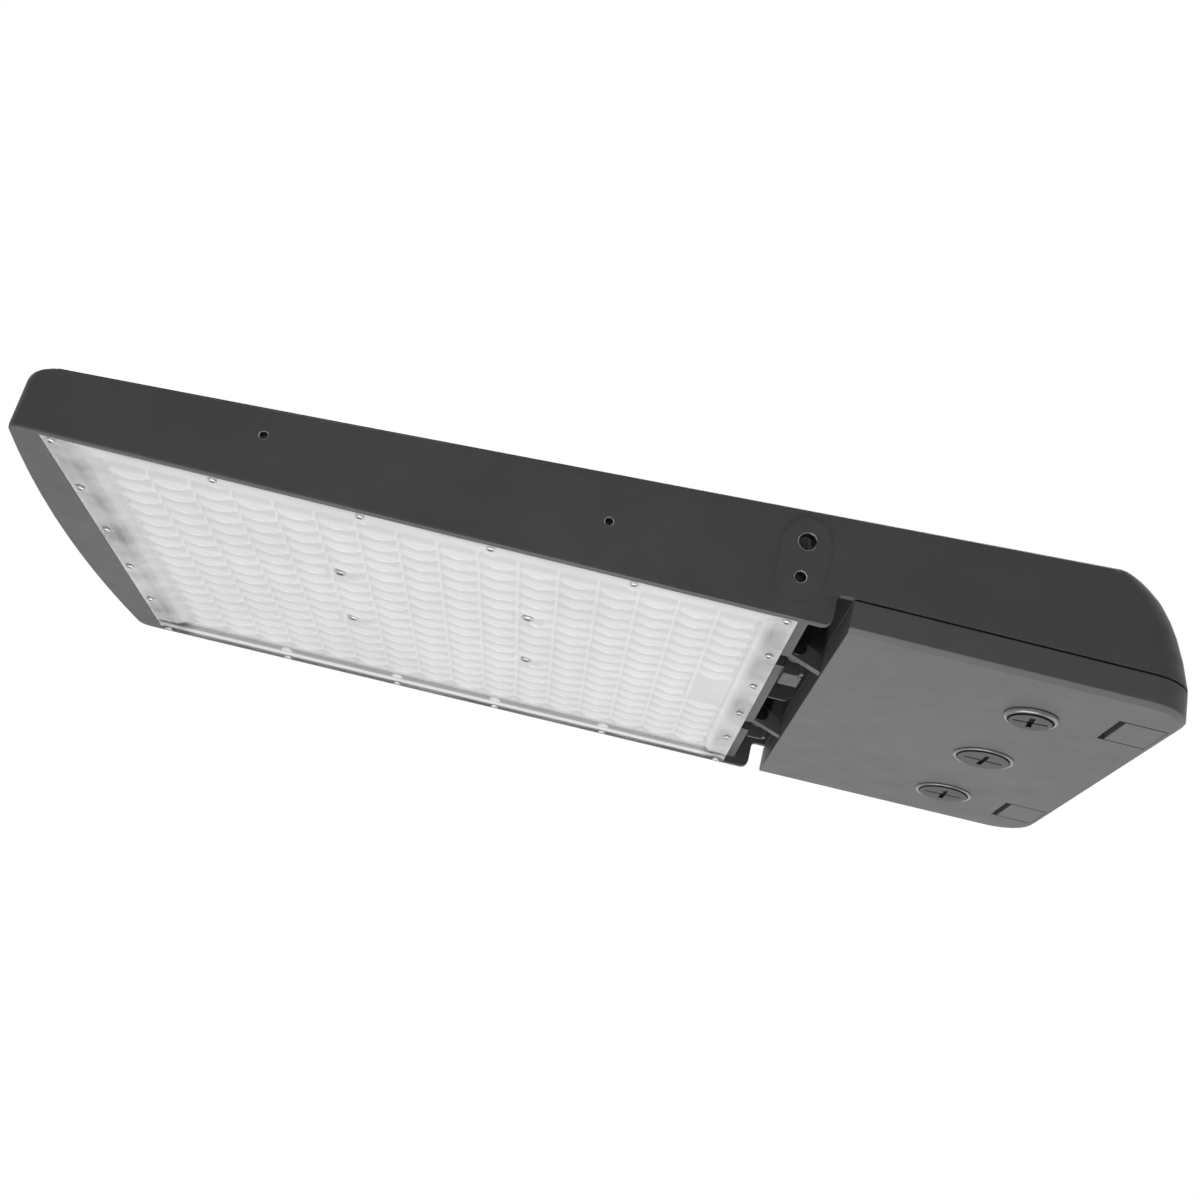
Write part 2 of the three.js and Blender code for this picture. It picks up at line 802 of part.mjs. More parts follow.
// Lens panel: a screwed flange, a sunken field, and asymmetric optics in rows and columns
function blankCell(column, row) {
  const last = columnCount - 1;
  const middle = rowCount / 2;
  return column === last && row >= middle - 1 && row <= middle + 1;
}

// One closed sheet: each cell of its underside rises to a short crest, nearer to one side than the other
function lensField() {
  const roof = fieldDepth + fieldThickness / 2;
  const positions = [];
  const indices = [];
  const corner = (i, j) => (i * (rowCount + 1) + j) * 2;
  const face = (a, b, c, d) => indices.push(a, b, c, a, c, d);
  for (let i = 0; i <= columnCount; i++) {
    for (let j = 0; j <= rowCount; j++) {
      const x = fieldFrontX + i * columnPitch;
      const y = j * rowPitch - fieldHalf;
      positions.push(x, y, fieldDepth, x, y, roof);
    }
  }
  for (let i = 0; i < columnCount; i++) {
    for (let j = 0; j < rowCount; j++) {
      const [a, b, c, d] = [corner(i, j), corner(i, j + 1), corner(i + 1, j + 1), corner(i + 1, j)];
      face(a + 1, d + 1, c + 1, b + 1);
      if (blankCell(i, j)) {
        face(a, b, c, d);
        continue;
      }
      const crest = positions.length / 3;
      const y = (j + crestSetbackShare) * rowPitch - fieldHalf;
      for (const share of [crestInsetShare, 1 - crestInsetShare]) {
        positions.push(fieldFrontX + (i + share) * columnPitch, y, fieldDepth - bumpHeight);
      }
      face(a, crest, crest + 1, d);
      face(b, c, crest + 1, crest);
      indices.push(a, b, crest, d, crest + 1, c);
    }
  }
  for (let i = 0; i < columnCount; i++) {
    face(corner(i, 0), corner(i + 1, 0), corner(i + 1, 0) + 1, corner(i, 0) + 1);
    face(corner(i + 1, rowCount), corner(i, rowCount), corner(i, rowCount) + 1, corner(i + 1, rowCount) + 1);
  }
  for (let j = 0; j < rowCount; j++) {
    face(corner(0, j + 1), corner(0, j), corner(0, j) + 1, corner(0, j + 1) + 1);
    face(corner(columnCount, j), corner(columnCount, j + 1), corner(columnCount, j + 1) + 1,
      corner(columnCount, j) + 1);
  }
  const geometry = new THREE.BufferGeometry();
  geometry.setAttribute('position', new THREE.Float32BufferAttribute(positions, 3));
  geometry.setIndex(indices);
  return solidOf(geometry);
}

function lensPanel() {
  const flange = prism('z', lensOutline(0), 0, flangeThickness);
  const roof = fieldDepth + fieldThickness;
  const tray = loft([
    { z: flangeThickness / 2, points: lensOutline(flangeWidth + seatRelief) },
    { z: flangeThickness, points: lensOutline(flangeWidth + seatRelief) },
    { z: roof, points: fieldOutline(lensWall) },
  ]);
  const hollow = loft([
    { z: -overrun, points: lensOutline(flangeWidth) },
    { z: 0, points: lensOutline(flangeWidth) },
    { z: fieldDepth, points: fieldOutline(0) },
  ]);
  const places = fieldScrewPlaces();
  const head = chamberHeight - boardThickness - 2 * gap;
  const posts = places.map(([x, y]) => rod(fieldPostRadius, [x, y, fieldDepth + gap], [x, y, head]));
  const wells = places.map(([x, y]) => rod(fieldPostRadius, [x, y, -overrun], [x, y, fieldDepth]));
  const holes = places.map(([x, y]) => rod(smallScrewRadius + gap, [x, y, 0], [x, y, chamberHeight]));
  return flange.add(tray).subtract(hollow)
    .add(lensField())
    .add(union(posts))
    .subtract(union(wells))
    .subtract(union(holes));
}

function ring(outer, inner, low, high) {
  return prism('z', outer, low, high).subtract(prism('z', inner, low - overrun, high + overrun));
}

function lensGasket() {
  const low = flangeThickness + gap;
  return ring(lensOutline(lensGasketInset), lensOutline(lensGasketInset + lensGasketWidth), low,
    low + lensGasketThickness);
}

function ledBoard(along, across) {
  const middleX = (fieldFrontX + fieldTailX) / 2;
  const reachX = (fieldTailX - fieldFrontX) / 2 + boardMargin;
  const reachY = fieldHalf + boardMargin;
  const [x0, x1] = [middleX + along * gap * 2, middleX + along * reachX].sort((a, b) => a - b);
  const [y0, y1] = [across * gap * 2, across * reachY].sort((a, b) => a - b);
  const top = chamberHeight - gap;
  const plate = prism('z', roundedBox(x0, x1, y0, y1, lensCornerRadius), top - boardThickness, top);
  const bore = smallScrewRadius + 2 * gap;
  const holes = fieldScrewPlaces().map(([x, y]) => rod(bore, [x, y, 0], [x, y, plateTop]));
  return plate.subtract(union(holes));
}

// A pan-head screw that points up: under is the height of the face that the head meets
function panScrew(x, y, under, length) {
  const seat = under - gap;
  return turned([
    [0, seat - smallHeadHeight],
    [smallHeadRadius * smallCrownShare, seat - smallHeadHeight],
    [smallHeadRadius, seat - smallHeadHeight / 2],
    [smallHeadRadius, seat],
    [smallScrewRadius, seat],
    [smallScrewRadius, seat + length - smallScrewRadius / 2],
    [smallScrewRadius / 2, seat + length],
    [0, seat + length],
  ], smallRoundSteps).translate(x, y, 0);
}

// Door: a cast tray with two arms, three conduit entries and two latch windows
function doorOutlineAt(z) {
  const chamfer = Math.max(0, 1 - z / doorChamferHeight) * doorChamferWidth;
  return boxOutline(doorFrontX, tailAt(z) - chamfer, sideAt(z) - chamfer, tailCornerRadius - chamfer);
}

function doorShell() {
  const outer = loft([0, doorChamferHeight, seamHeight / 2, doorTop].map((z) => ({
    z, points: doorOutlineAt(z),
  })));
  const half = halfWidth - doorWall - bottomEdgeBreak;
  const hollow = boxOutline(doorFrontX + doorWall, tailX - doorWall, half, tailCornerRadius - doorWall);
  return outer.subtract(prism('z', hollow, doorFloor, doorTop + overrun));
}

function gasketOutline(inset) {
  return boxOutline(doorFrontX + inset, tailX - inset, sideAt(doorTop) - inset, tailCornerRadius - inset);
}

function gasketGroove() {
  const half = doorGasketWidth / 2 + gap;
  return ring(gasketOutline(doorGasketInset - half), gasketOutline(doorGasketInset + half),
    doorTop - doorGrooveDepth, doorTop + overrun);
}

function doorGasket() {
  const half = doorGasketWidth / 2;
  return ring(gasketOutline(doorGasketInset - half), gasketOutline(doorGasketInset + half),
    doorTop - doorGrooveDepth + gap, boxBottom - gap);
}

function hingeArm(side) {
  const y = side * hingeSpacing / 2;
  const foot = Math.asin((hingePinHeight - armFoot - knuckleRadius) / (doorFrontX - hingeX));
  const undercut = 270 - THREE.MathUtils.radToDeg(foot) - armUndercutAngle;
  const outline = [
    [doorFrontX + doorWall / 2, armFoot],
    [doorFrontX + doorWall / 2, armTop],
    [doorFrontX - gap, armTop],
    ...arc(hingeX, hingePinHeight, knuckleRadius, armRootAngle, undercut, cornerSteps * 2),
    [doorFrontX - gap, armFoot],
  ];
  return prism('y', outline, y - armThickness / 2, y + armThickness / 2);
}

function hingeBores() {
  const cuts = [-1, 1].map((side) => {
    const y = side * hingeSpacing / 2;
    return rod(hingePinRadius + gap, [hingeX, y - armThickness, hingePinHeight],
      [hingeX, y + armThickness, hingePinHeight], roundSteps / 2);
  });
  return union(cuts);
}

function plugs() {
  return [-1, 0, 1].map((side, i) => {
    const place = { x: plugX, y: side * plugSpacing, turn: plugTurns[i] };
    if (side >= 0) {
      return { ...place, radius: plugRadius, thread: plugThreadRadius, rim: plugRim, face: plugFace };
    }
    const thread = smallPlugThreadRadius;
    return { ...place, radius: smallPlugRadius, thread, rim: smallPlugRim, face: smallPlugFace };
  });
}

function latchWindow(side) {
  const y = side * latchSpacing / 2;
  const front = latchTailX - latchLength - latchTravel - gap;
  const half = latchWidth / 2 + gap;
  const outline = rectangle(front, latchTailX + gap, y - half, y + half);
  return prism('z', outline, -overrun, doorFloor + overrun / 2);
}

function springLug(side) {
  const y = side * latchSpacing / 2;
  const tail = springSpan().front - gap;
  const outline = [
    [y - springLugWidth / 2, doorFloor - gap],
    [y + springLugWidth / 2, doorFloor - gap],
    ...arc(y, springHeight, springLugWidth / 2, 0, 180, cornerSteps),
  ];
  return prism('x', outline, tail - springLugThickness, tail);
}

function doorRibs() {
  const ribs = [];
  const front = doorFrontX + doorWall - gap;
  const tail = plugX - plugThreadRadius - entryBossWall - doorRibHeight;
  const half = halfWidth - doorWall - bottomEdgeBreak / 2;
  for (let i = 0; i < doorRibCount; i++) {
    const x = front + (tail - front) * (i + 1) / (doorRibCount + 1);
    const rib = rectangle(x - doorRibThickness / 2, x + doorRibThickness / 2, -half, half);
    ribs.push(prism('z', rib, doorFloor - gap, doorFloor + doorRibHeight));
  }
  return union(ribs);
}

// Each entry has a boss inside, and a counterbore below that holds the seal of its plug
function door() {
  const bossTop = doorFloor + entryBossHeight;
  const bosses = plugs().map(({ x, y, thread }) =>
    rod(thread + entryBossWall, [x, y, doorFloor - gap], [x, y, bossTop], roundSteps));
  const entries = plugs().map(({ x, y, thread }) => {
    const seat = thread + plugSealOffset + plugSealWire;
    const bore = rod(thread + gap, [x, y, -overrun], [x, y, bossTop + overrun], roundSteps);
    return bore.add(rod(seat, [x, y, -overrun], [x, y, plugSealWire + gap], roundSteps));
  });
  return doorShell()
    .add(union([hingeArm(-1), hingeArm(1), springLug(-1), springLug(1), doorRibs(), ...bosses]))
    .subtract(union([latchWindow(-1), latchWindow(1), ...entries]))
    .subtract(gasketGroove())
    .subtract(hingeBores());
}

function hingePin(side) {
  const armFace = side * hingeSpacing / 2 - armThickness / 2;
  const tail = armFace + armThickness + 2 * gap + webThickness;
  const head = rod(hingeHeadRadius, [hingeX, armFace - gap - hingeHeadThickness, hingePinHeight],
    [hingeX, armFace - gap, hingePinHeight], roundSteps / 2);
  const shank = rod(hingePinRadius, [hingeX, armFace - gap - hingeHeadThickness / 2, hingePinHeight],
    [hingeX, tail, hingePinHeight], roundSteps / 2);
  return head.add(shank);
}

// Latch: a slide in the door floor, whose hook snaps over a spring keeper
function springSpan() {
  const tail = latchTailX - latchPostSetback - latchPostThickness - gap;
  return { front: tail - springLength, tail };
}

function latch(side) {
  const y = side * latchSpacing / 2;
  const front = latchTailX - latchLength;
  const wingLow = doorFloor + gap;
  const postFront = latchTailX - latchPostSetback - latchPostThickness;
  const postTail = postFront + latchPostThickness;
  const hookTop = latchHookHeight + latchHookThickness;
  const half = latchWidth / 2;
  const wide = half + latchWing;
  const wingTop = wingLow + latchWingThickness;
  const plate = prism('z', rectangle(front, latchTailX, y - half, y + half), 0, latchPlate);
  const neckOutline = rectangle(front, latchTailX - 2 * gap, y - half + gap, y + half - gap);
  const neck = prism('z', neckOutline, latchPlate / 2, wingTop);
  const wingOutline = roundedBox(front, latchTailX - gap, y - wide, y + wide, latchWingThickness);
  const wings = prism('z', wingOutline, wingLow, wingTop);
  const hook = prism('y', [
    [postFront, wingLow],
    [postTail, wingLow],
    [postTail, latchHookHeight],
    [postTail + latchHookReach, latchHookHeight],
    [postTail + latchHookReach, latchHookHeight + latchHookThickness / 3],
    [postTail, hookTop],
    [postFront, hookTop],
  ], y - latchPostWidth / 2, y + latchPostWidth / 2);
  return union([plate, neck, wings, hook]);
}

function latchSpring(side) {
  const { front, tail } = springSpan();
  const y = side * latchSpacing / 2;
  const reach = springRadius - springWire / 2;
  const steps = springTurns * springStepsPerTurn;
  const start = front + gap + springWire / 2;
  const end = tail - gap - springWire / 2;
  const points = [];
  for (let i = 0; i <= steps; i++) {
    const angle = 2 * Math.PI * i / springStepsPerTurn;
    const x = start + (end - start) * i / steps;
    points.push([x, y + reach * Math.cos(angle), springHeight + reach * Math.sin(angle)]);
  }
  return tube(points, springWire / 2, springSides, steps);
}

function latchGuide(side) {
  const y = side * latchSpacing / 2;
  const span = latchWidth / 2 + latchWing + gap;
  const low = doorFloor + gap;
  const under = low + latchWingThickness + gap;
  const outline = [
    [y - span - guideFoot, low],
    [y - span, low],
    [y - span, under],
    [y + span, under],
    [y + span, low],
    [y + span + guideFoot, low],
    [y + span + guideFoot, low + guideStrap],
    [y + span + guideStrap, low + guideStrap],
    [y + span + guideStrap, under + guideStrap],
    [y - span - guideStrap, under + guideStrap],
    [y - span - guideStrap, low + guideStrap],
    [y - span - guideFoot, low + guideStrap],
  ];
  const tail = latchTailX - guideSetback;
  return prism('x', outline, tail - guideLength, tail);
}

function keeperPlace() {
  const hookTip = latchTailX - latchPostSetback + latchHookReach;
  return {
    x: hookTip + keeperThickness + 3 * gap,
    low: latchHookHeight - keeperRelief - keeperThickness,
    tip: hookTip - keeperBite,
  };
}

function latchKeeper(side) {
  const { x, low, tip } = keeperPlace();
  const y = side * latchSpacing / 2;
  const outline = [
    [tip, low],
    [x, low],
    [x, low + keeperHeight],
    [x - keeperThickness, low + keeperHeight],
    [x - keeperThickness, low + keeperThickness],
    [tip, low + keeperThickness],
  ];
  return prism('y', outline, y - keeperWidth / 2, y + keeperWidth / 2);
}

// Closure plug: a rim and a raised face with a coin slot, and a threaded body in the door's entry
function entryPlug({ x, y, radius, thread, rim, face, turn }) {
  const disc = radius - plugRimWall - plugGrooveWidth;
  const profile = [
    [0, -face],
    [disc - plugEdgeRadius, -face],
    [disc, plugEdgeRadius - face],
    [disc, plugGrooveDepth - rim],
    [disc + plugGrooveWidth, plugGrooveDepth - rim],
    [disc + plugGrooveWidth, -rim],
    [radius - plugEdgeRadius, -rim],
    [radius, plugEdgeRadius - rim],
    [radius, -gap],
    [thread, -gap],
    [thread, plugThreadLength],
    [0, plugThreadLength],
  ];
  const slotHalf = disc * plugSlotShare / 2;
  const lineHalf = disc * plugLineShare / 2;
  const slot = rectangle(-plugSlotWidth / 2, plugSlotWidth / 2, -slotHalf, slotHalf);
  const line = rectangle(-lineHalf, lineHalf, -plugLineWidth / 2, plugLineWidth / 2);
  const place = new THREE.Matrix4().makeRotationZ(THREE.MathUtils.degToRad(turn)).setPosition(x, y, 0);
  return solidOf(turned(profile))
    .subtract(prism('z', slot, -face - overrun, plugSlotDepth - face))
    .subtract(prism('z', line, -face - overrun, plugLineDepth - face))
    .transform(place.toArray());
}

function plugSeal({ x, y, thread }) {
  const half = plugSealWire / 2;
  return turnedRing(circle(thread + plugSealOffset, half, half, springSides)).translate(x, y, 0);
}

// Gear
function gearTray() {
  const { front, tail } = traySpan();
  const top = trayHeight + trayThickness;
  const plate = prism('z', rectangle(front, tail, -trayNear, trayFar), trayHeight, top);
  const lipOutline = rectangle(front, tail, trayFar - trayThickness, trayFar);
  const lip = prism('z', lipOutline, trayHeight - trayFlange, top);
  const places = [...trayPostPlaces(), ...driverScrewPlaces(), groundScrewPlace()];
  const holes = places.map(([x, y]) =>
    rod(smallScrewRadius + gap, [x, y, trayHeight - overrun], [x, y, top + overrun]));
  return plate.add(lip).subtract(union(holes));
}

function driverSpan() {
  const { front, tail } = traySpan();
  const reach = driverTab + driverEndMargin;
  return { front: front + reach, tail: tail - reach, top: trayHeight - gap };
}

function driverScrewPlaces() {
  const { front, tail } = driverSpan();
  return [[front - driverTab / 2, driverOffset], [tail + driverTab / 2, driverOffset]];
}

function driver() {
  const { front, tail, top } = driverSpan();
  const half = driverCaseWidth / 2;
  const low = top - driverCaseHeight;
  const section = roundedBox(driverOffset - half, driverOffset + half, low, top, driverCaseRadius);
  const box = prism('x', section, front, tail);
  const tabNear = driverOffset - driverTabWidth / 2;
  const tabFar = driverOffset + driverTabWidth / 2;
  const tabOutline = roundedBox(front - driverTab, tail + driverTab, tabNear, tabFar, driverCaseRadius);
  const tabs = prism('z', tabOutline, top - driverTabThickness, top);
  const holes = driverScrewPlaces().map(([x, y]) =>
    rod(smallScrewRadius + gap, [x, y, low], [x, y, top + overrun]));
  return box.add(tabs).subtract(union(holes));
}

function surgeProtector() {
  const front = compartmentFrontX + surgeFrontMargin;
  const top = trayHeight - gap;
  const near = surgeOffset - surgeWidth / 2;
  const section = roundedBox(near, near + surgeWidth, top - surgeHeight, top, driverCaseRadius);
  return prism('x', section, front, front + surgeLength);
}

function terminalSpan() {
  const front = compartmentFrontX + terminalFrontMargin;
  return { front, tail: front + terminalLength, top: trayHeight - gap };
}

function terminalPortY(pole) {
  return terminalOffset + terminalWidth * ((pole + 1 / 2) / terminalPoles - 1 / 2);
}

function terminalBlock() {
  const { front, tail, top } = terminalSpan();
  const low = top - terminalHeight;
  const half = terminalWidth / 2;
  const outline = [
    [front, top],
    [front, low + terminalHeight / 3],
    [front + terminalLength / 4, low],
    [tail - terminalLength / 4, low],
    [tail, low + terminalHeight / 3],
    [tail, top],
  ];
  const ports = [];
  for (let pole = 0; pole < terminalPoles; pole++) {
    const y = terminalPortY(pole);
    const z = top - terminalHeight / 3;
    ports.push(rod(terminalPortRadius, [tail - terminalPortDepth, y, z], [tail + overrun, y, z], wireSides));
  }
  return prism('y', outline, terminalOffset - half, terminalOffset + half).subtract(union(ports));
}

function groundScrewPlace() {
  const { tail } = traySpan();
  return [tail - trayPostMargin, (trayFar - trayNear) / 2 + trayPostMargin];
}

function wireBush() {
  const { middle } = ductSpan();
  const bore = bushBoreRadius;
  const profile = [
    [bore, 0],
    [ductRadius - gap, 0],
    [ductRadius - gap, bulkheadWall + gap],
    [bushFlangeRadius, bulkheadWall + gap],
    [bushFlangeRadius, bulkheadWall + gap + bushFlangeThickness],
    [bore, bulkheadWall + gap + bushFlangeThickness],
  ];
  return turnedRing(profile).rotateY(Math.PI / 2).translate(doorFrontX, middle, ductExitHeight);
}

// Wires run from port to port; each route is a list of points along its middle
function ledLead(across) {
  const { middle } = ductSpan();
  const y = middle + across * wireSpacing / 2;
  const chamberX = lensTailX - flangeWidth - ductRadius;
  const slope = (ductExitHeight - ductEntryHeight) / (doorFrontX - ductRadius / 2 - chamberX);
  const onSlope = (x) => ductEntryHeight + (x - chamberX) * slope;
  const { front } = driverSpan();
  const points = [
    [chamberX, y, onSlope(chamberX)],
    [ledEndX / 2, y, onSlope(ledEndX / 2)],
    [ledEndX + gapLength / 2, y, onSlope(ledEndX + gapLength / 2)],
    [doorFrontX, y, ductExitHeight],
    [compartmentFrontX + bushFlangeThickness, y, ductExitHeight],
    [(compartmentFrontX + bushFlangeThickness + front) / 2, y, ductExitHeight],
    [front - gap, y, ductExitHeight],
  ];
  return tube(points, wireRadius, wireSides, shortWireSteps);
}

function gearLead(pole, fromY, drop, reach) {
  const { tail } = driverSpan();
  const { tail: portX, top } = terminalSpan();
  const portY = terminalPortY(pole);
  const portZ = top - terminalHeight / 3;
  const leadZ = top - driverCaseHeight / 2;
  const bendX = Math.max(tail, portX) + reach;
  const points = [
    [tail + gap, fromY, leadZ],
    [tail + reach / 2, fromY, leadZ],
    [bendX, fromY + reach / 2, leadZ - drop],
    [bendX, (fromY + portY) / 2, leadZ - drop],
    [bendX - reach / 4, portY - reach / 3, portZ - drop / 2],
    [(bendX + portX) / 2, portY, portZ],
    [portX + wireSpacing, portY, portZ],
    [portX - terminalPortDepth / 2, portY, portZ],
  ];
  return tube(points, wireRadius, wireSides, wireSteps);
}

function surgeLead() {
  const { tail: portX, top } = terminalSpan();
  const portY = terminalPortY(3);
  const portZ = top - terminalHeight / 3;
  const start = compartmentFrontX + surgeFrontMargin + surgeLength;
  const side = terminalOffset + terminalWidth / 2 + 2 * wireSpacing;
  const points = [
    [start + gap, surgeOffset + surgeWidth / 4, top - surgeHeight / 2],
    [start + 3 * wireSpacing, surgeOffset + surgeWidth / 4 + wireSpacing, top - surgeHeight / 2],
    [portX - terminalLength, side, portZ - wireSpacing],
    [portX + 2 * wireSpacing, side, portZ],
    [portX + 4 * wireSpacing, (side + portY) / 2, portZ],
    [portX + 2 * wireSpacing, portY, portZ],
    [portX - terminalPortDepth / 2, portY, portZ],
  ];
  return tube(points, wireRadius, wireSides, wireSteps);
}

function groundLead() {
  const [screwX, screwY] = groundScrewPlace();
  const { tail: portX, top } = terminalSpan();
  const portY = terminalPortY(0);
  const portZ = top - terminalHeight / 3;
  const height = trayHeight - 2 * gap - wireRadius;
  const clear = smallHeadRadius + wireRadius + gap;
  const points = [
    [portX - terminalPortDepth / 2, portY, portZ],
    [portX + 2 * wireSpacing, portY, portZ],
    [portX + 4 * wireSpacing, portY - wireSpacing, (portZ + height) / 2],
    [screwX - clear - 2 * wireSpacing, screwY + wireSpacing, height],
    [screwX - clear, screwY, height],
  ];
  return tube(points, wireRadius, wireSides, shortWireSteps);
}

// The LED section
addPiece('housing', housing(), charcoal);
addPiece('lens_panel', lensPanel(), clearLens);
addPiece('lens_gasket', lensGasket(), blackRubber);
for (const [end, along] of [['nose', -1], ['tail', 1]]) {
  for (const [side, across] of [['near', -1], ['far', 1]]) {
    addPiece(`led_board_${end}_${side}`, ledBoard(along, across), whiteBoard);
  }
}
fieldScrewPlaces().forEach(([x, y], i) => {
  const length = plateTop - plateThickness / 2 - fieldDepth;
  addPiece(`lens_screw_${i + 1}`, panScrew(x, y, fieldDepth, length), steel);
});

// The gear in the driver box
addPiece('gear_tray', gearTray(), zincPlate);
trayPostPlaces().forEach(([x, y], i) => {
  addPiece(`tray_screw_${i + 1}`, panScrew(x, y, trayHeight, smallScrewLength), steel);
});
addPiece('driver', driver(), driverCase);
driverScrewPlaces().forEach(([x, y], i) => {
  const end = ['front', 'rear'][i];
  const under = trayHeight - gap - driverTabThickness;
  addPiece(`driver_screw_${end}`, panScrew(x, y, under, smallScrewLength / 2), steel);
});
addPiece('surge_protector', surgeProtector(), blackPlastic);
addPiece('terminal_block', terminalBlock(), whitePlastic);
addPiece('ground_screw', panScrew(...groundScrewPlace(), trayHeight, groundScrewLength), greenWire);
addPiece('wire_bush', wireBush(), blackRubber);
addPiece('led_lead_plus', ledLead(-1), redWire);
addPiece('led_lead_minus', ledLead(1), blackWire);
addPiece('mains_lead_live', gearLead(1, driverOffset + 5 * wireSpacing, 0, liveLeadReach), blackWire);
const neutralLead = gearLead(2, driverOffset + 2 * wireSpacing, 2 * wireSpacing, neutralLeadReach);
addPiece('mains_lead_neutral', neutralLead, whiteWire);
addPiece('surge_lead', surgeLead(), redWire);
addPiece('ground_lead', groundLead(), greenWire);

// The door and what it carries
addPiece('door', door(), doorGrey);
addPiece('door_gasket', doorGasket(), blackRubber);
for (const [name, side] of [['near', -1], ['far', 1]]) {
  addPiece(`hinge_pin_${name}`, hingePin(side), steel);
  addPiece(`latch_${name}`, latch(side), doorGrey);
  addPiece(`latch_spring_${name}`, latchSpring(side), steel);
  addPiece(`latch_guide_${name}`, latchGuide(side), zincPlate);
  addPiece(`latch_keeper_${name}`, latchKeeper(side), steel);
}
plugs().forEach((plug, i) => {
  const name = ['near', 'middle', 'far'][i];
  addPiece(`entry_plug_${name}`, entryPlug(plug), plugGrey);
  addPiece(`plug_seal_${name}`, plugSeal(plug), blackRubber);
});

export default areaLight;
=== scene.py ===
import math

import bpy
from mathutils import Matrix, Vector


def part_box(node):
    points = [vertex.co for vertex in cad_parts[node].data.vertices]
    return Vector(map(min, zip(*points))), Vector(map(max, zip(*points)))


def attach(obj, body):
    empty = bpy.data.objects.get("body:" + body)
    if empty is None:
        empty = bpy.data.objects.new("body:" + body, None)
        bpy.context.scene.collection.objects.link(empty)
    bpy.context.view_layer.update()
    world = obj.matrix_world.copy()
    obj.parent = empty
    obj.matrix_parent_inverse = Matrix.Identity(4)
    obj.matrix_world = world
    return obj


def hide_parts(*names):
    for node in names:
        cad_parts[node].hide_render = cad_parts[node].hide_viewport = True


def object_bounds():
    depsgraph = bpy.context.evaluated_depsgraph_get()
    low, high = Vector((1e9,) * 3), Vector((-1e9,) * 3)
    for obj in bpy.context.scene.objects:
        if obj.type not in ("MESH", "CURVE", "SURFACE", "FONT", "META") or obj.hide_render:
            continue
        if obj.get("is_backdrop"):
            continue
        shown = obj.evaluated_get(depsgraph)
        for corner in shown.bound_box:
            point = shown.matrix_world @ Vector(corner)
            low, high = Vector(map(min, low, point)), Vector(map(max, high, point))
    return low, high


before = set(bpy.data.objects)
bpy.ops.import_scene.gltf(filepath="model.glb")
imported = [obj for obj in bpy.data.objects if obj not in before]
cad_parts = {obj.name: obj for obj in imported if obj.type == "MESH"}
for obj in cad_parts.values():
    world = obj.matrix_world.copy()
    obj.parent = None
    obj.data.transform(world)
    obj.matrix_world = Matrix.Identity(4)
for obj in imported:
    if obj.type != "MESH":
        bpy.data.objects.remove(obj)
cad_low, cad_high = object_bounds()

# Studio: a plain pale floor well under the light, four soft lamps and a white background. What is
# seen of the floor and the background is paler than the light that they cast on the part.
# The camera stands near the side wall, a little below the lens, and looks slightly up.
mm = 0.001
white = (1, 1, 1, 1)
floor_drop = 1.75
floor_radius = 6
floor_colour = (0.86, 0.86, 0.86, 1)
floor_roughness = 0.8
floor_paleness = 0.38
room_strength = 0.09
camera_place = Vector((-0.0833, -0.97818, -0.36344))
camera_azimuth = math.radians(4.58)
camera_elevation = math.radians(20.48)
camera_roll = math.radians(12.21)
camera_lens = 46.2
camera_sensor = 36
camera_shift = (-0.1305, 0.0241)
lamps = {
    "lamp_below": {"place": (-0.12, -0.12, -1.25), "aim": (-0.12, 0, -0.03), "size": 1.1, "power": 16.8},
    "lamp_tail": {"place": (1.2, 0.45, -0.9), "aim": (0.1, 0, -0.03), "size": 0.9, "power": 3},
    "lamp_front": {"place": (-0.3, -1.8, 0.3), "aim": (-0.1, 0, 0), "size": 1.0, "power": 4.2},
    "lamp_above": {"place": (-0.05, 0.5, 1.5), "aim": (-0.1, 0, 0), "size": 1.3, "power": 22},
}


def link(tree, start, end):
    """Links an output to a socket, or sets the socket where the start is a plain number."""
    if isinstance(start, (int, float)):
        end.default_value = start
    else:
        tree.links.new(start, end)


def math_node(tree, operation, *values):
    node = tree.nodes.new("ShaderNodeMath")
    node.operation = operation
    for value, socket in zip(values, node.inputs):
        link(tree, value, socket)
    return node.outputs["Value"]


def direct_rays(tree):
    """Is 1 for what is seen straight, mirrored or through a clear piece, and 0 for what only lights."""
    rays = tree.nodes.new("ShaderNodeLightPath").outputs
    mirrored = math_node(tree, "MAXIMUM", rays["Is Camera Ray"], rays["Is Glossy Ray"])
    return math_node(tree, "MAXIMUM", mirrored, rays["Is Transmission Ray"])


def new_material(name, roughness, metallic=0.0):
    material = bpy.data.materials.new(name)
    material.use_nodes = True
    shader = material.node_tree.nodes["Principled BSDF"]
    shader.inputs["Roughness"].default_value = roughness
    shader.inputs["Metallic"].default_value = metallic
    return material, material.node_tree, shader


scene = bpy.context.scene
scene.view_settings.view_transform = "Standard"
world = bpy.data.worlds.new("studio_room")
world.use_nodes = True
scene.world = world
sky = world.node_tree
room = sky.nodes["Background"]
room.inputs["Color"].default_value = white
room.inputs["Strength"].default_value = room_strength
backdrop = sky.nodes.new("ShaderNodeBackground")
backdrop.inputs["Color"].default_value = white
backdrop.inputs["Strength"].default_value = 1
choice = sky.nodes.new("ShaderNodeMixShader")
link(sky, direct_rays(sky), choice.inputs["Fac"])
link(sky, room.outputs["Background"], choice.inputs[1])
link(sky, backdrop.outputs["Background"], choice.inputs[2])
link(sky, choice.outputs["Shader"], sky.nodes["World Output"].inputs["Surface"])

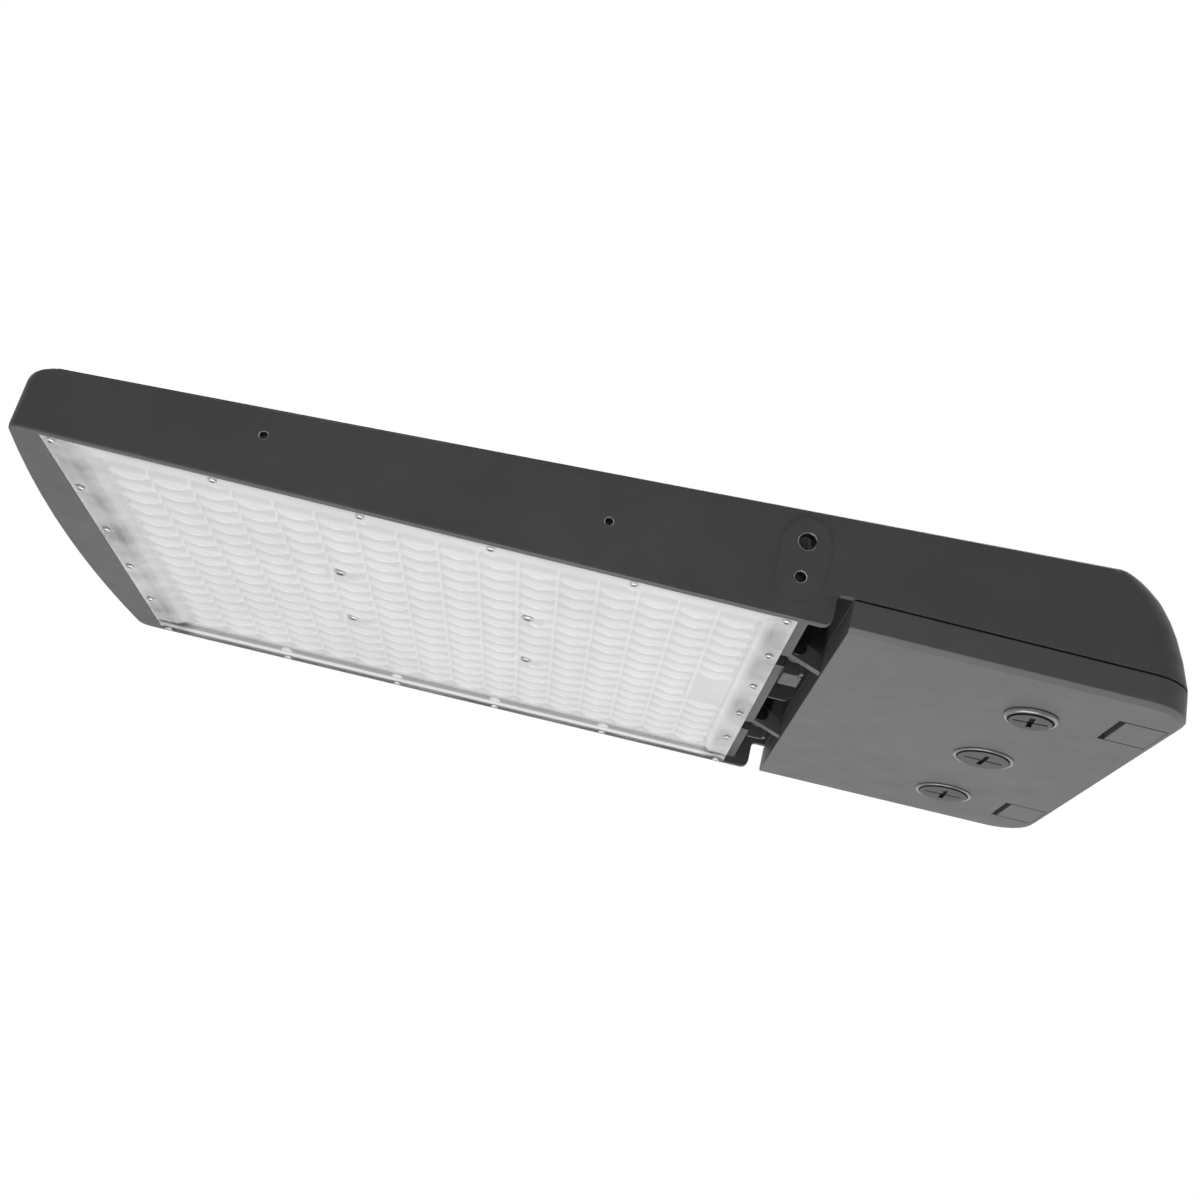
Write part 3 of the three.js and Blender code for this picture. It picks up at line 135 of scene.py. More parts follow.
bpy.ops.mesh.primitive_circle_add(
    vertices=96, radius=floor_radius, fill_type="NGON", location=(0, 0, cad_low[2] - floor_drop))
floor = bpy.context.active_object
floor.name = "floor"
floor_paint, floor_tree, floor_shader = new_material("pale_floor", floor_roughness)
floor_shader.inputs["Base Color"].default_value = floor_colour
floor_shader.inputs["Emission Color"].default_value = white
glow = math_node(floor_tree, "MULTIPLY", direct_rays(floor_tree), floor_paleness)
link(floor_tree, glow, floor_shader.inputs["Emission Strength"])
floor.data.materials.append(floor_paint)
floor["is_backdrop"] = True

for name, lamp in lamps.items():
    bpy.ops.object.light_add(type="AREA", location=lamp["place"])
    softbox = bpy.context.active_object
    softbox.name = name
    softbox.data.shape = "SQUARE"
    softbox.data.size = lamp["size"]
    softbox.data.energy = lamp["power"]
    aim = Vector(lamp["aim"]) - Vector(lamp["place"])
    softbox.rotation_euler = aim.to_track_quat("-Z", "Y").to_euler()

ahead = Vector((
    math.sin(camera_azimuth) * math.cos(camera_elevation),
    math.cos(camera_azimuth) * math.cos(camera_elevation),
    math.sin(camera_elevation)))
level = Vector((math.cos(camera_azimuth), -math.sin(camera_azimuth), 0))
upright = level.cross(ahead)
across = level * math.cos(camera_roll) + upright * math.sin(camera_roll)
above = upright * math.cos(camera_roll) - level * math.sin(camera_roll)
turn = Matrix((across, above, -ahead)).transposed().to_4x4()
bpy.ops.object.camera_add()
camera = bpy.context.active_object
camera.name = "photo_camera"
camera.matrix_world = Matrix.Translation(camera_place) @ turn
camera.data.lens = camera_lens
camera.data.sensor_width = camera_sensor
camera.data.shift_x, camera.data.shift_y = camera_shift
scene.camera = camera

# Housing: one aluminium die casting with the LED chamber, the fins, the hinge gap and the driver box.
# It is coated with charcoal powder, whose fine grain and faint flow are in the material.
# The holes through its side walls are drilled after coating, so their walls are bare metal.
housing_dark = (0.086, 0.087, 0.089)
housing_light = (0.1, 0.101, 0.104)
bore_dark = (0.2, 0.205, 0.21)
bore_light = (0.3, 0.305, 0.31)
housing_edge = 0.5 * mm
lens_rim_gap = 1.6 * mm
pad_sunk = 0.4 * mm
pad_depth = 2 * mm
pad_inner = 7 * mm
pad_outer = 16 * mm
pad_bottom = -38 * mm
pad_foot = -28 * mm
pad_head = 8 * mm
side_bores = (
    {"x": 0, "z": 0, "radius": 5.4 * mm},
    {"x": 0, "z": -22.5 * mm, "radius": 3.4 * mm},
    {"x": -113.6 * mm, "z": -17.6 * mm, "radius": 2.3 * mm},
    {"x": -311.6 * mm, "z": -17.6 * mm, "radius": 2.3 * mm},
)
bore_slack = 0.45 * mm
side_wall_inner = 150 * mm
near_enough = 0.1 * mm
weld_gap = 0.002 * mm
sharp_angle = 32
edge_smooth_angle = 34
flat_face_weight = 80
noise_range = (0.3, 0.7)
coat_specular = 0.25
coat_flow_scale = 9
coat_sheen_scale = 40
coat_peel_scale = 420
coat_peel_relief = (0.22, 0.12 * mm)
coat_grain_scale = 1600
coat_grain_relief = (0.25, 0.06 * mm)
metal_scales = (200, 350, 900)
metal_relief = (0.12, 0.05 * mm)


def noise(tree, scale, detail=3.0, stretch=(1, 1, 1)):
    place = tree.nodes.new("ShaderNodeTexCoord")
    mapping = tree.nodes.new("ShaderNodeMapping")
    mapping.inputs["Scale"].default_value = stretch
    texture = tree.nodes.new("ShaderNodeTexNoise")
    texture.inputs["Scale"].default_value = scale
    texture.inputs["Detail"].default_value = detail
    link(tree, place.outputs["Object"], mapping.inputs["Vector"])
    link(tree, mapping.outputs["Vector"], texture.inputs["Vector"])
    return texture.outputs["Fac"]


def between(tree, factor, low_colour, high_colour):
    ramp = tree.nodes.new("ShaderNodeValToRGB")
    for stop, position, colour in zip(ramp.color_ramp.elements, noise_range, (low_colour, high_colour)):
        stop.position = position
        stop.color = (*colour, 1)
    link(tree, factor, ramp.inputs["Fac"])
    return ramp.outputs["Color"]


def map_range(tree, value, from_low, from_high, to_low=0, to_high=1, kind="LINEAR"):
    span = tree.nodes.new("ShaderNodeMapRange")
    span.interpolation_type = kind
    link(tree, value, span.inputs["Value"])
    link(tree, from_low, span.inputs["From Min"])
    link(tree, from_high, span.inputs["From Max"])
    link(tree, to_low, span.inputs["To Min"])
    link(tree, to_high, span.inputs["To Max"])
    return span.outputs["Result"]


def spread(tree, factor, low, high):
    return map_range(tree, factor, *noise_range, low, high)


def relief(tree, shader, height, strength, distance, under=None):
    bump = tree.nodes.new("ShaderNodeBump")
    bump.inputs["Strength"].default_value = strength
    bump.inputs["Distance"].default_value = distance
    link(tree, height, bump.inputs["Height"])
    if under:
        link(tree, under, bump.inputs["Normal"])
    link(tree, bump.outputs["Normal"], shader.inputs["Normal"])
    return bump.outputs["Normal"]


def powder_coat(name, dark, light, rough_low=0.45, rough_high=0.56):
    material, tree, shader = new_material(name, rough_low)
    shader.inputs["Specular IOR Level"].default_value = coat_specular
    link(tree, between(tree, noise(tree, coat_flow_scale), dark, light), shader.inputs["Base Color"])
    sheen = spread(tree, noise(tree, coat_sheen_scale), rough_low, rough_high)
    link(tree, sheen, shader.inputs["Roughness"])
    peel = relief(tree, shader, noise(tree, coat_peel_scale, 2), *coat_peel_relief)
    relief(tree, shader, noise(tree, coat_grain_scale, 2), *coat_grain_relief, peel)
    return material


def grained(name, colours, roughness, scales, bump, metallic=0.0, stretch=(1, 1, 1)):
    """A material whose colour, roughness and bumps each follow a noise of their own scale."""
    material, tree, shader = new_material(name, roughness[0], metallic)
    tone, sheen, height = (noise(tree, scale, stretch=stretch) for scale in scales)
    link(tree, between(tree, tone, *colours), shader.inputs["Base Color"])
    link(tree, spread(tree, sheen, *roughness), shader.inputs["Roughness"])
    relief(tree, shader, height, *bump)
    return material


def metal(name, dark, light, rough_low, rough_high, stretch=(1, 1, 1)):
    return grained(name, (dark, light), (rough_low, rough_high), metal_scales, metal_relief, 1.0, stretch)


def only(piece):
    bpy.ops.object.select_all(action="DESELECT")
    piece.select_set(True)
    bpy.context.view_layer.objects.active = piece


def cad_copy(node, name):
    piece = bpy.data.objects.new(name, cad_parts[node].data.copy())
    bpy.context.scene.collection.objects.link(piece)
    piece.data.materials.clear()
    only(piece)
    bpy.ops.object.mode_set(mode="EDIT")
    bpy.ops.mesh.select_all(action="SELECT")
    bpy.ops.mesh.remove_doubles(threshold=weld_gap)
    bpy.ops.object.mode_set(mode="OBJECT")
    return piece


def add_modifier(piece, kind, **settings):
    modifier = piece.modifiers.new(kind.lower(), kind)
    for setting, value in settings.items():
        setattr(modifier, setting, value)
    only(piece)
    bpy.ops.object.modifier_apply(modifier=modifier.name)


def smooth(angle):
    bpy.ops.object.shade_smooth_by_angle(angle=math.radians(angle))


def break_edges(piece, width, segments=2, angle=sharp_angle, clamp=False, spared=None):
    only(piece)
    bpy.ops.object.mode_set(mode="EDIT")
    bpy.ops.mesh.select_mode(type="EDGE")
    bpy.ops.mesh.select_all(action="DESELECT")
    bpy.ops.mesh.edges_select_sharp(sharpness=math.radians(angle))
    bpy.ops.object.mode_set(mode="OBJECT")
    corners = piece.data.vertices
    for edge in piece.data.edges:
        start, end = (corners[i].co for i in edge.vertices)
        if spared and spared((start + end) / 2):
            edge.select = False
    bpy.ops.object.mode_set(mode="EDIT")
    bpy.ops.transform.edge_bevelweight(value=1)
    bpy.ops.object.mode_set(mode="OBJECT")
    add_modifier(
        piece, "BEVEL", width=width, segments=segments, limit_method="WEIGHT", use_clamp_overlap=clamp)
    smooth(edge_smooth_angle)
    add_modifier(piece, "WEIGHTED_NORMAL", keep_sharp=True, weight=flat_face_weight)


def finish_piece(piece, material, body, slot, *nodes):
    piece.data.materials.clear()
    piece.data.materials.append(material)
    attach(piece, body)
    if nodes:
        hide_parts(*nodes)


def select_parts(piece, mode, wanted):
    """Leaves the piece in edit mode with only the wanted vertices or faces selected."""
    only(piece)
    bpy.ops.object.mode_set(mode="EDIT")
    bpy.ops.mesh.select_mode(type=mode)
    bpy.ops.mesh.select_all(action="DESELECT")
    bpy.ops.object.mode_set(mode="OBJECT")
    for part in piece.data.vertices if mode == "VERT" else piece.data.polygons:
        part.select = wanted(part)
    bpy.ops.object.mode_set(mode="EDIT")


def select_vertices(piece, wanted):
    select_parts(piece, "VERT", lambda vertex: wanted(vertex.co))


def edge_spared(middle):
    """Is true at the tail of the lens rim and on most of the pad's outline, which stay crisp."""
    beside_lens = 0 < middle.x - lens_tail < lens_rim_gap
    on_pad = abs(middle.y) > pad_face - pad_depth and middle.z > pad_bottom
    outline = pad_inner < abs(middle.x) < pad_outer or middle.z < pad_foot or middle.z > pad_head
    return beside_lens or (on_pad and outline)


lens_low, lens_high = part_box("lens_panel")
lens_tail = lens_high.x
housing = cad_copy("housing", "die_cast_housing")
pad_face = abs(cad_low[1]) - near_enough
for side in (-1, 1):
    select_vertices(housing, lambda v: v.y * side > pad_face)
    bpy.ops.transform.translate(value=(0, -side * pad_sunk, 0))
    bpy.ops.object.mode_set(mode="OBJECT")
break_edges(housing, housing_edge, spared=edge_spared)
housing_paint = powder_coat("housing_powder_coat", housing_dark, housing_light)
finish_piece(housing, housing_paint, "housing_body", "housing_paint", "housing")
housing.data.materials.append(metal("bare_bore", bore_dark, bore_light, 0.32, 0.44))
for face in housing.data.polygons:
    for bore in side_bores:
        from_axis = math.hypot(face.center.x - bore["x"], face.center.z - bore["z"])
        if abs(from_axis - bore["radius"]) < bore_slack and abs(face.center.y) > side_wall_inner:
            face.material_index = 1

# LED boards: four white-masked aluminium boards, with one chip over each optic of the lens.
# The chips are soldered in rows, each a small ceramic base with a raised phosphor.
chip_size = 3 * mm
chip_height = 0.8 * mm
chip_rim_share = 0.14
phosphor_rim_share = 0.16
chip_step_share = 0.3
chip_row_share = 0.32
phosphor_dark = (0.83, 0.78, 0.58)
phosphor_light = (0.9, 0.87, 0.7)
board_dark = (0.72, 0.72, 0.7)
board_light = (0.84, 0.84, 0.82)
board_roughness = (0.38, 0.5)
trace_width = 0.5 * mm
trace_relief = (0.3, 0.05 * mm)
ceramic_relief = (0.2, 0.04 * mm)
flat_share = 0.99
column_count = 16
row_count = 16
column_pitch = 24 * mm
row_pitch = 17.3 * mm
field_tail_margin = 19.8 * mm

field_tail = lens_high.x - field_tail_margin
field_front = field_tail - column_count * column_pitch
field_half = row_count * row_pitch / 2

board_mask, board_tree, board_shader = new_material("white_solder_mask", board_roughness[0])
traces = board_tree.nodes.new("ShaderNodeTexBrick")
traces.inputs["Scale"].default_value = 1
traces.inputs["Brick Width"].default_value = column_pitch
traces.inputs["Row Height"].default_value = row_pitch
traces.inputs["Mortar Size"].default_value = trace_width
traces.inputs["Color1"].default_value = (*board_light, 1)
traces.inputs["Color2"].default_value = (*board_light, 1)
traces.inputs["Mortar"].default_value = (*board_dark, 1)
traces.offset = 0
board_place = board_tree.nodes.new("ShaderNodeTexCoord")
link(board_tree, board_place.outputs["Object"], traces.inputs["Vector"])
link(board_tree, traces.outputs["Color"], board_shader.inputs["Base Color"])
board_sheen = spread(board_tree, noise(board_tree, 60), *board_roughness)
link(board_tree, board_sheen, board_shader.inputs["Roughness"])
relief(board_tree, board_shader, traces.outputs["Fac"], *trace_relief)

phosphor, phosphor_tree, phosphor_shader = new_material("chip_phosphor", 0.35)
phosphor_tone = between(phosphor_tree, noise(phosphor_tree, 500), phosphor_dark, phosphor_light)
link(phosphor_tree, phosphor_tone, phosphor_shader.inputs["Base Color"])
relief(phosphor_tree, phosphor_shader, noise(phosphor_tree, 2500), *ceramic_relief)


def dress(node, material):
    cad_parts[node].data.materials.clear()
    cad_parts[node].data.materials.append(material)


def new_piece(name, size=(1, 1, 1)):
    """Names and sizes the primitive just added, and puts its place, turn and size into its mesh."""
    piece = bpy.context.active_object
    piece.name = name
    piece.scale = size
    bpy.ops.object.transform_apply(location=True, rotation=True, scale=True)
    return piece


def led_chips(name, first_x, first_y):
    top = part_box(name.replace("chips", "board"))[0].z
    bpy.ops.mesh.primitive_cube_add(size=1, location=(first_x, first_y, top - chip_height / 2))
    chips = new_piece(name, (chip_size, chip_size, chip_height))
    select_parts(chips, "FACE", lambda face: face.normal.z < -flat_share)
    for rim_share in (chip_rim_share, phosphor_rim_share):
        bpy.ops.mesh.inset(thickness=chip_size * rim_share)
        bpy.ops.transform.translate(value=(0, 0, -chip_height * chip_step_share))
    bpy.ops.object.mode_set(mode="OBJECT")
    for count, offset in ((column_count // 2, (column_pitch, 0, 0)), (row_count // 2, (0, row_pitch, 0))):
        add_modifier(
            chips, "ARRAY", count=count, use_relative_offset=False, use_constant_offset=True,
            constant_offset_displace=offset)
    smooth(40)
    finish_piece(chips, phosphor, "housing_body", "board_white")


for end, half_x in (("nose", 0), ("tail", 1)):
    for side, half_y in (("near", 0), ("far", 1)):
        dress(f"led_board_{end}_{side}", board_mask)
        led_chips(
            f"led_chips_{end}_{side}",
            field_front + column_pitch * (0.5 + half_x * column_count / 2),
            row_pitch * chip_row_share - field_half + half_y * row_count / 2 * row_pitch)

# Lens gasket: a soft black rubber ring in the housing, which the screwed flange of the lens presses flat.
rubber_colours = ((0.011, 0.011, 0.012), (0.02, 0.02, 0.021))
rubber_roughness = (0.68, 0.85)
rubber_scales = (120, 300, 1500)
rubber_relief = (0.3, 0.08 * mm)

black_rubber = grained("black_rubber", rubber_colours, rubber_roughness, rubber_scales, rubber_relief)
dress("lens_gasket", black_rubber)

# Lens panel: one injection-moulded clear plate with a flat flange, a sloping border and a sunken field.
# Each optic is a long shallow dome that leans to one side; three cells of the last column are bare.
# The plastic looks milky over the optics and clearer over the border. The webs between the optics are painted
# paler as a highlight, and by depth the colour carries painted shade in the creases at the foot of each dome
# and a painted highlight along its crest.
clear_ior = 1.49
flange_width = 14 * mm
flange_thickness = 2.5 * mm
field_depth = 5.5 * mm
field_z = lens_low.z + field_depth
lip_width = 2.2 * mm
lip_height = 0.5 * mm
dome_height = 3 * mm
cell_parts = 6
dome_rows = (
    {"place": -7.4 * mm, "rise_share": 0.08, "pull": 0},
    {"place": -3.6 * mm, "rise_share": 0.38, "pull": 0.5 * mm},
    {"place": 0.6 * mm, "rise_share": 0.66, "pull": 2.1 * mm},
    {"place": 4.6 * mm, "rise_share": 0.86, "pull": 4.4 * mm},
    {"place": 7.2 * mm, "rise_share": 1, "pull": 6.2 * mm},
)
dome_columns = (
    {"place": None, "rise_share": 0.5, "pull_share": 1},
    {"place": 11 * mm, "rise_share": 0.74, "pull_share": 0.84},
    {"place": 8 * mm, "rise_share": 0.94, "pull_share": 0.4},
    {"place": None, "rise_share": 1, "pull_share": 0},
)
bare_rows = (7, 10)
cell_slack = 1 * mm
well_radius = 8 * mm
body_setback = 7.7 * mm
screw_setback = 225 * mm
screw_spacing = (120.5 * mm, 86 * mm)
lens_merge_gap = 0.02 * mm
lens_weld_gap = 0.01 * mm

lens_tint = (0.8, 0.8, 0.8)
lens_shade = (0.74, 0.74, 0.74)
lens_tone_scale = 14
lens_cloud_scale = 22
lens_sheen_scale = 70
lens_roughness = (0.16, 0.26)
lens_wave_scale = 350
lens_relief = (0.08, 0.1 * mm)
# Painted shade in the creases at the foot of each dome and a painted highlight along its crest, as depth
# shares and their tints.
painted_height_light_shares = ((0.22, 0.84), (0.34, 0.98), (0.47, 1), (0.535, 1.12), (0.6, 1))
# A painted highlight that makes the webs between the optic columns paler.
web_half = 0.5 * mm
web_fade = 1.2 * mm
web_painted_highlight = 0.12
side_share = 0.88
border_shares = (0.99, 1.07)
border_clear = (0.3, 0.74)
field_clear = 0.12
far_clear = 0.6
far_band_reach_share = 1.2
far_band_shares = ((0.13, 0), (0.28, 1), (0.34, 1), (0.46, 0), (0.66, 0), (0.74, 1))


def place_parts(tree):
    place = tree.nodes.new("ShaderNodeTexCoord")
    parts = tree.nodes.new("ShaderNodeSeparateXYZ")
    link(tree, place.outputs["Object"], parts.inputs["Vector"])
    return parts.outputs["X"], parts.outputs["Y"], parts.outputs["Z"]


def lens_shares(tree, x, y):
    """Shares that are 1 over the border, in bands of its far side, and over the optics."""
    from_middle = math_node(tree, "SUBTRACT", x, (field_front + field_tail) / 2)
    along = math_node(tree, "DIVIDE", from_middle, (field_tail - field_front) / 2)
    sideways = math_node(tree, "DIVIDE", y, field_half)
    long_share = math_node(tree, "ABSOLUTE", along)
    wide_share = math_node(tree, "ABSOLUTE", sideways)
    narrowed = math_node(tree, "MULTIPLY", wide_share, side_share)
    furthest = math_node(tree, "MAXIMUM", long_share, narrowed)
    border = map_range(tree, furthest, *border_shares, kind="SMOOTHSTEP")
    inside = math_node(tree, "LESS_THAN", math_node(tree, "MAXIMUM", long_share, wide_share), 1)
    bands = tree.nodes.new("ShaderNodeValToRGB")
    bands.color_ramp.elements[0].color = (0, 0, 0, 1)
    for stop, paleness in far_band_shares:
        bands.color_ramp.elements.new(stop).color = (paleness, paleness, paleness, 1)
    link(tree, map_range(tree, sideways, 1, far_band_reach_share), bands.inputs["Fac"])
    return border, bands.outputs["Color"], inside


clear_lens, lens_tree, lens_shader = new_material("clear_lens", lens_roughness[0])
lens_shader.inputs["IOR"].default_value = clear_ior
lens_x, lens_y, lens_z = place_parts(lens_tree)
border_share, far_share, optic_share = lens_shares(lens_tree, lens_x, lens_y)
border_cloud = spread(lens_tree, noise(lens_tree, lens_cloud_scale), *border_clear)
clearness = map_range(lens_tree, border_share, 0, 1, field_clear, border_cloud)
clearer = math_node(lens_tree, "MULTIPLY_ADD", far_share, far_clear, clearness)
link(lens_tree, clearer, lens_shader.inputs["Transmission Weight"])

# The tints by depth are painted shade in the creases at the foot of each dome and a painted highlight along
# its crest.
# The curve of the tints ends at 1, so it holds half of each, and the maths node doubles them.
painted_height_light = lens_tree.nodes.new("ShaderNodeFloatCurve")
curve = painted_height_light.mapping.curves[0]
curve.points[0].location = (0, painted_height_light_shares[0][1] / 2)
curve.points[1].location = (1, 0.5)
for share, tint in painted_height_light_shares:
    curve.points.new(share, tint / 2)
for point in curve.points:
    point.handle_type = "VECTOR"
painted_height_light.mapping.update()
link(lens_tree, map_range(lens_tree, lens_z, field_z, lens_low.z), painted_height_light.inputs["Value"])
doubled = math_node(lens_tree, "MULTIPLY", painted_height_light.outputs["Value"], 2)
# The webs between the columns are painted paler inside the optic field, as a painted highlight.
from_front = math_node(lens_tree, "SUBTRACT", lens_x, field_front)
from_web = math_node(lens_tree, "PINGPONG", from_front, column_pitch / 2)
web = map_range(lens_tree, from_web, web_half, web_fade, web_painted_highlight, 0)
painted_web_highlight = math_node(lens_tree, "MULTIPLY", web, optic_share)
shaded = lens_tree.nodes.new("ShaderNodeVectorMath")
shaded.operation = "SCALE"
lens_tone = between(lens_tree, noise(lens_tree, lens_tone_scale), lens_shade, lens_tint)
link(lens_tree, lens_tone, shaded.inputs[0])
link(lens_tree, math_node(lens_tree, "ADD", doubled, painted_web_highlight), shaded.inputs["Scale"])
link(lens_tree, shaded.outputs["Vector"], lens_shader.inputs["Base Color"])
lens_sheen = spread(lens_tree, noise(lens_tree, lens_sheen_scale), *lens_roughness)
link(lens_tree, lens_sheen, lens_shader.inputs["Roughness"])
relief(lens_tree, lens_shader, noise(lens_tree, lens_wave_scale), *lens_relief)

cell_middle = (field_front + column_pitch / 2, row_pitch / 2 - field_half, field_z)
bpy.ops.mesh.primitive_plane_add(size=1, location=cell_middle)
lens = new_piece("lens_moulding", (column_pitch, row_pitch, 1))
bpy.ops.object.mode_set(mode="EDIT")
bpy.ops.mesh.select_mode(type="FACE")
bpy.ops.mesh.select_all(action="SELECT")
bpy.ops.mesh.flip_normals()
bpy.ops.mesh.subdivide(number_cuts=cell_parts - 1)
bpy.ops.object.mode_set(mode="OBJECT")
for row, along_row in enumerate(dome_rows, 1):
    y = (row / cell_parts - 0.5) * row_pitch
    for column, across_row in enumerate(dome_columns):
        x = (0.5 - column / cell_parts) * column_pitch
        select_vertices(
            lens, lambda v: abs(abs(v.x - cell_middle[0]) - x) < near_enough
            and abs(v.y - cell_middle[1] - y) < near_enough)
        if across_row["place"]:
            bpy.ops.transform.resize(value=(across_row["place"] / x, 1, 1), center_override=cell_middle)
        forward = along_row["place"] - y - along_row["pull"] * across_row["pull_share"]
        down = -along_row["rise_share"] * across_row["rise_share"] * dome_height
        bpy.ops.transform.translate(value=(0, forward, down))
        bpy.ops.object.mode_set(mode="OBJECT")
for count, offset in ((column_count, (column_pitch, 0, 0)), (row_count, (0, row_pitch, 0))):
    add_modifier(
        lens, "ARRAY", count=count, use_relative_offset=False, use_constant_offset=True,
        constant_offset_displace=offset, use_merge_vertices=True, merge_threshold=lens_merge_gap)


def flatten(wanted):
    select_vertices(lens, wanted)
    bpy.ops.transform.resize(value=(1, 1, 0), center_override=(field_tail, 0, field_z))
    bpy.ops.object.mode_set(mode="OBJECT")


for axis, low, high in ((0, field_front, field_tail), (1, -field_half, field_half)):
    flatten(lambda v: v[axis] < low + near_enough or v[axis] > high - near_enough)
bare_front = field_tail - column_pitch - cell_slack
bare_near, bare_far = (row * row_pitch - field_half for row in bare_rows)
flatten(lambda v: v.x > bare_front and bare_near - cell_slack < v.y < bare_far + cell_slack)
body_front = lens_high.x + body_setback
screw_places = [
    (body_front - screw_setback + along * screw_spacing[0] / 2, sideways * screw_spacing[1] / 2)
    for along in (-1, 1) for sideways in (-1, 1)]
for x, y in screw_places:
    flatten(lambda v: (v.xy - Vector((x, y))).length < well_radius)


def select_rim(piece):
    """Leaves the piece in edit mode with the edges of its openings selected."""
    only(piece)
    bpy.ops.object.mode_set(mode="EDIT")
    bpy.ops.mesh.select_mode(type="EDGE")
    bpy.ops.mesh.select_all(action="DESELECT")
    bpy.ops.mesh.select_non_manifold()


select_rim(lens)
centre_x = (field_front + field_tail) / 2
half = Vector(((field_tail - field_front) / 2, field_half))
panel_centre = (lens_low.x + lens_high.x) / 2
panel_half = Vector(((lens_high.x - lens_low.x) / 2, (lens_high.y - lens_low.y) / 2))
for inset, drop in (
    (flange_width, lip_height - field_depth), (lip_width + lip_height, 0), (lip_width, -lip_height), (0, 0),
):
    wide = panel_half - Vector((inset, inset))
    bpy.ops.mesh.extrude_edges_move()
    bpy.ops.transform.resize(
        value=(wide.x / half.x, wide.y / half.y, 1), center_override=(centre_x, 0, field_z))
    bpy.ops.transform.translate(value=(panel_centre - centre_x, 0, drop))
    centre_x = panel_centre
    half = wide
bpy.ops.mesh.select_all(action="SELECT")
bpy.ops.mesh.remove_doubles(threshold=lens_weld_gap)
bpy.ops.mesh.normals_make_consistent(inside=False)
bpy.ops.object.mode_set(mode="OBJECT")
if sum(face.normal.z * face.area for face in lens.data.polygons) > 0:
    bpy.ops.object.mode_set(mode="EDIT")
    bpy.ops.mesh.flip_normals()
    bpy.ops.object.mode_set(mode="OBJECT")
add_modifier(lens, "SOLIDIFY", thickness=flange_thickness, offset=-1)
smooth(55)
finish_piece(lens, clear_lens, "housing_body", "clear_lens", "lens_panel")

# Bosses of the lens: solid moulded saddles that bridge the slope at the four inner screws of each long
# side. They look brighter than the slope, because they are thick and carry light across.
boss_radius = 5 * mm
boss_round = 1.8 * mm
boss_overlap = 0.5 * mm
boss_seat_gap = 0.2 * mm
boss_clear = 0.12
boss_roughness = 0.22
boss_tone_scale = 90
boss_relief = (0.1, 0.1 * mm)
flange_screw_setbacks = [setback * mm for setback in (5.6, 95.2, 178.2, 252.9, 335.9, 425.5)]
boss_material, boss_tree, boss_shader = new_material("moulded_boss", boss_roughness)
boss_shader.inputs["IOR"].default_value = clear_ior
boss_shader.inputs["Transmission Weight"].default_value = boss_clear
boss_tone = between(boss_tree, noise(boss_tree, boss_tone_scale), lens_shade, lens_tint)
link(boss_tree, boss_tone, boss_shader.inputs["Base Color"])
relief(boss_tree, boss_shader, noise(boss_tree, lens_wave_scale), *boss_relief)
boss_z = lens_low.z + lip_height + boss_seat_gap + field_depth / 2
for end, side in (("near", -1), ("far", 1)):
    for i, setback in enumerate(flange_screw_setbacks[1:-1], 1):
        y = side * (lens_high.y - flange_width + boss_overlap)
        bpy.ops.mesh.primitive_cylinder_add(
            vertices=24, radius=boss_radius, depth=field_depth, location=(lens_low.x + setback, y, boss_z))
        boss = new_piece(f"lens_boss_{end}_{i}")
        select_parts(boss, "FACE", lambda face: abs(face.normal.z) > flat_share)
        bpy.ops.mesh.bevel(offset=boss_round, segments=4, affect="EDGES")
        bpy.ops.object.mode_set(mode="OBJECT")
        smooth(50)
        finish_piece(boss, boss_material, "housing_body", "clear_lens")

# Screws: stainless pan heads with a six-lobe drive. Twenty small ones hold the lens flange,
# four hold its field to the chamber roof, and others hold the tray, the driver and the earth wire.
steel_dark = (0.48, 0.49, 0.5)
steel_light = (0.74, 0.75, 0.76)
flange_screw_inset = 3.6 * mm
flange_screw = {"head": 2.6 * mm, "height": 1.3 * mm, "shank": 1.4 * mm, "length": 3 * mm}
field_screw = {"head": 3.7 * mm, "height": 1.5 * mm, "shank": 1.9 * mm}
field_screw_sunk = 0.2 * mm
row_step_share = 2 / 5
head_round_share = 0.4
drive_rim_share = 0.12
drive_waist_share = 0.74
drive_depth_share = 0.6
lobe_turn = 60
waist_turns = (20, 55)


def select_flat(piece, direction):
    select_parts(piece, "FACE", lambda face: face.normal.z * direction > flat_share)


def pan_screw(name, x, y, seat, head, height, shank, length):
    """The head hangs under the seat, and the shank goes up from it."""
    bpy.ops.mesh.primitive_cylinder_add(
        vertices=24, radius=head, depth=height, location=(x, y, seat - height / 2))
    screw = new_piece(name)
    select_flat(screw, 1)
    bpy.ops.mesh.inset(thickness=head - shank)
    bpy.ops.mesh.extrude_region_move(TRANSFORM_OT_translate={"value": (0, 0, length)})
    bpy.ops.object.mode_set(mode="OBJECT")
    select_flat(screw, -1)
    bpy.ops.mesh.bevel(offset=height * head_round_share, segments=3, affect="EDGES")
    bpy.ops.object.mode_set(mode="OBJECT")
    select_flat(screw, -1)
    bpy.ops.mesh.inset(thickness=head * drive_rim_share)
    bpy.ops.object.mode_set(mode="OBJECT")
    drive = {vertex.index for vertex in screw.data.vertices if vertex.select}

    def is_waist(vertex):
        bearing = math.degrees(math.atan2(vertex.co.y - y, vertex.co.x - x)) % lobe_turn
        return vertex.index in drive and waist_turns[0] < bearing < waist_turns[1]

    select_parts(screw, "VERT", is_waist)
    bpy.ops.transform.resize(
        value=(drive_waist_share, drive_waist_share, 1), center_override=(x, y, seat))
    bpy.ops.object.mode_set(mode="OBJECT")
    flats = [face for face in screw.data.polygons if face.normal.z < -flat_share]
    socket = min(flats, key=lambda face: (face.center.xy - Vector((x, y))).length).index
    select_parts(screw, "FACE", lambda face: face.index == socket)
    bpy.ops.mesh.extrude_region_move(
        TRANSFORM_OT_translate={"value": (0, 0, height * drive_depth_share)})
    bpy.ops.object.mode_set(mode="OBJECT")
    smooth(35)
    return screw


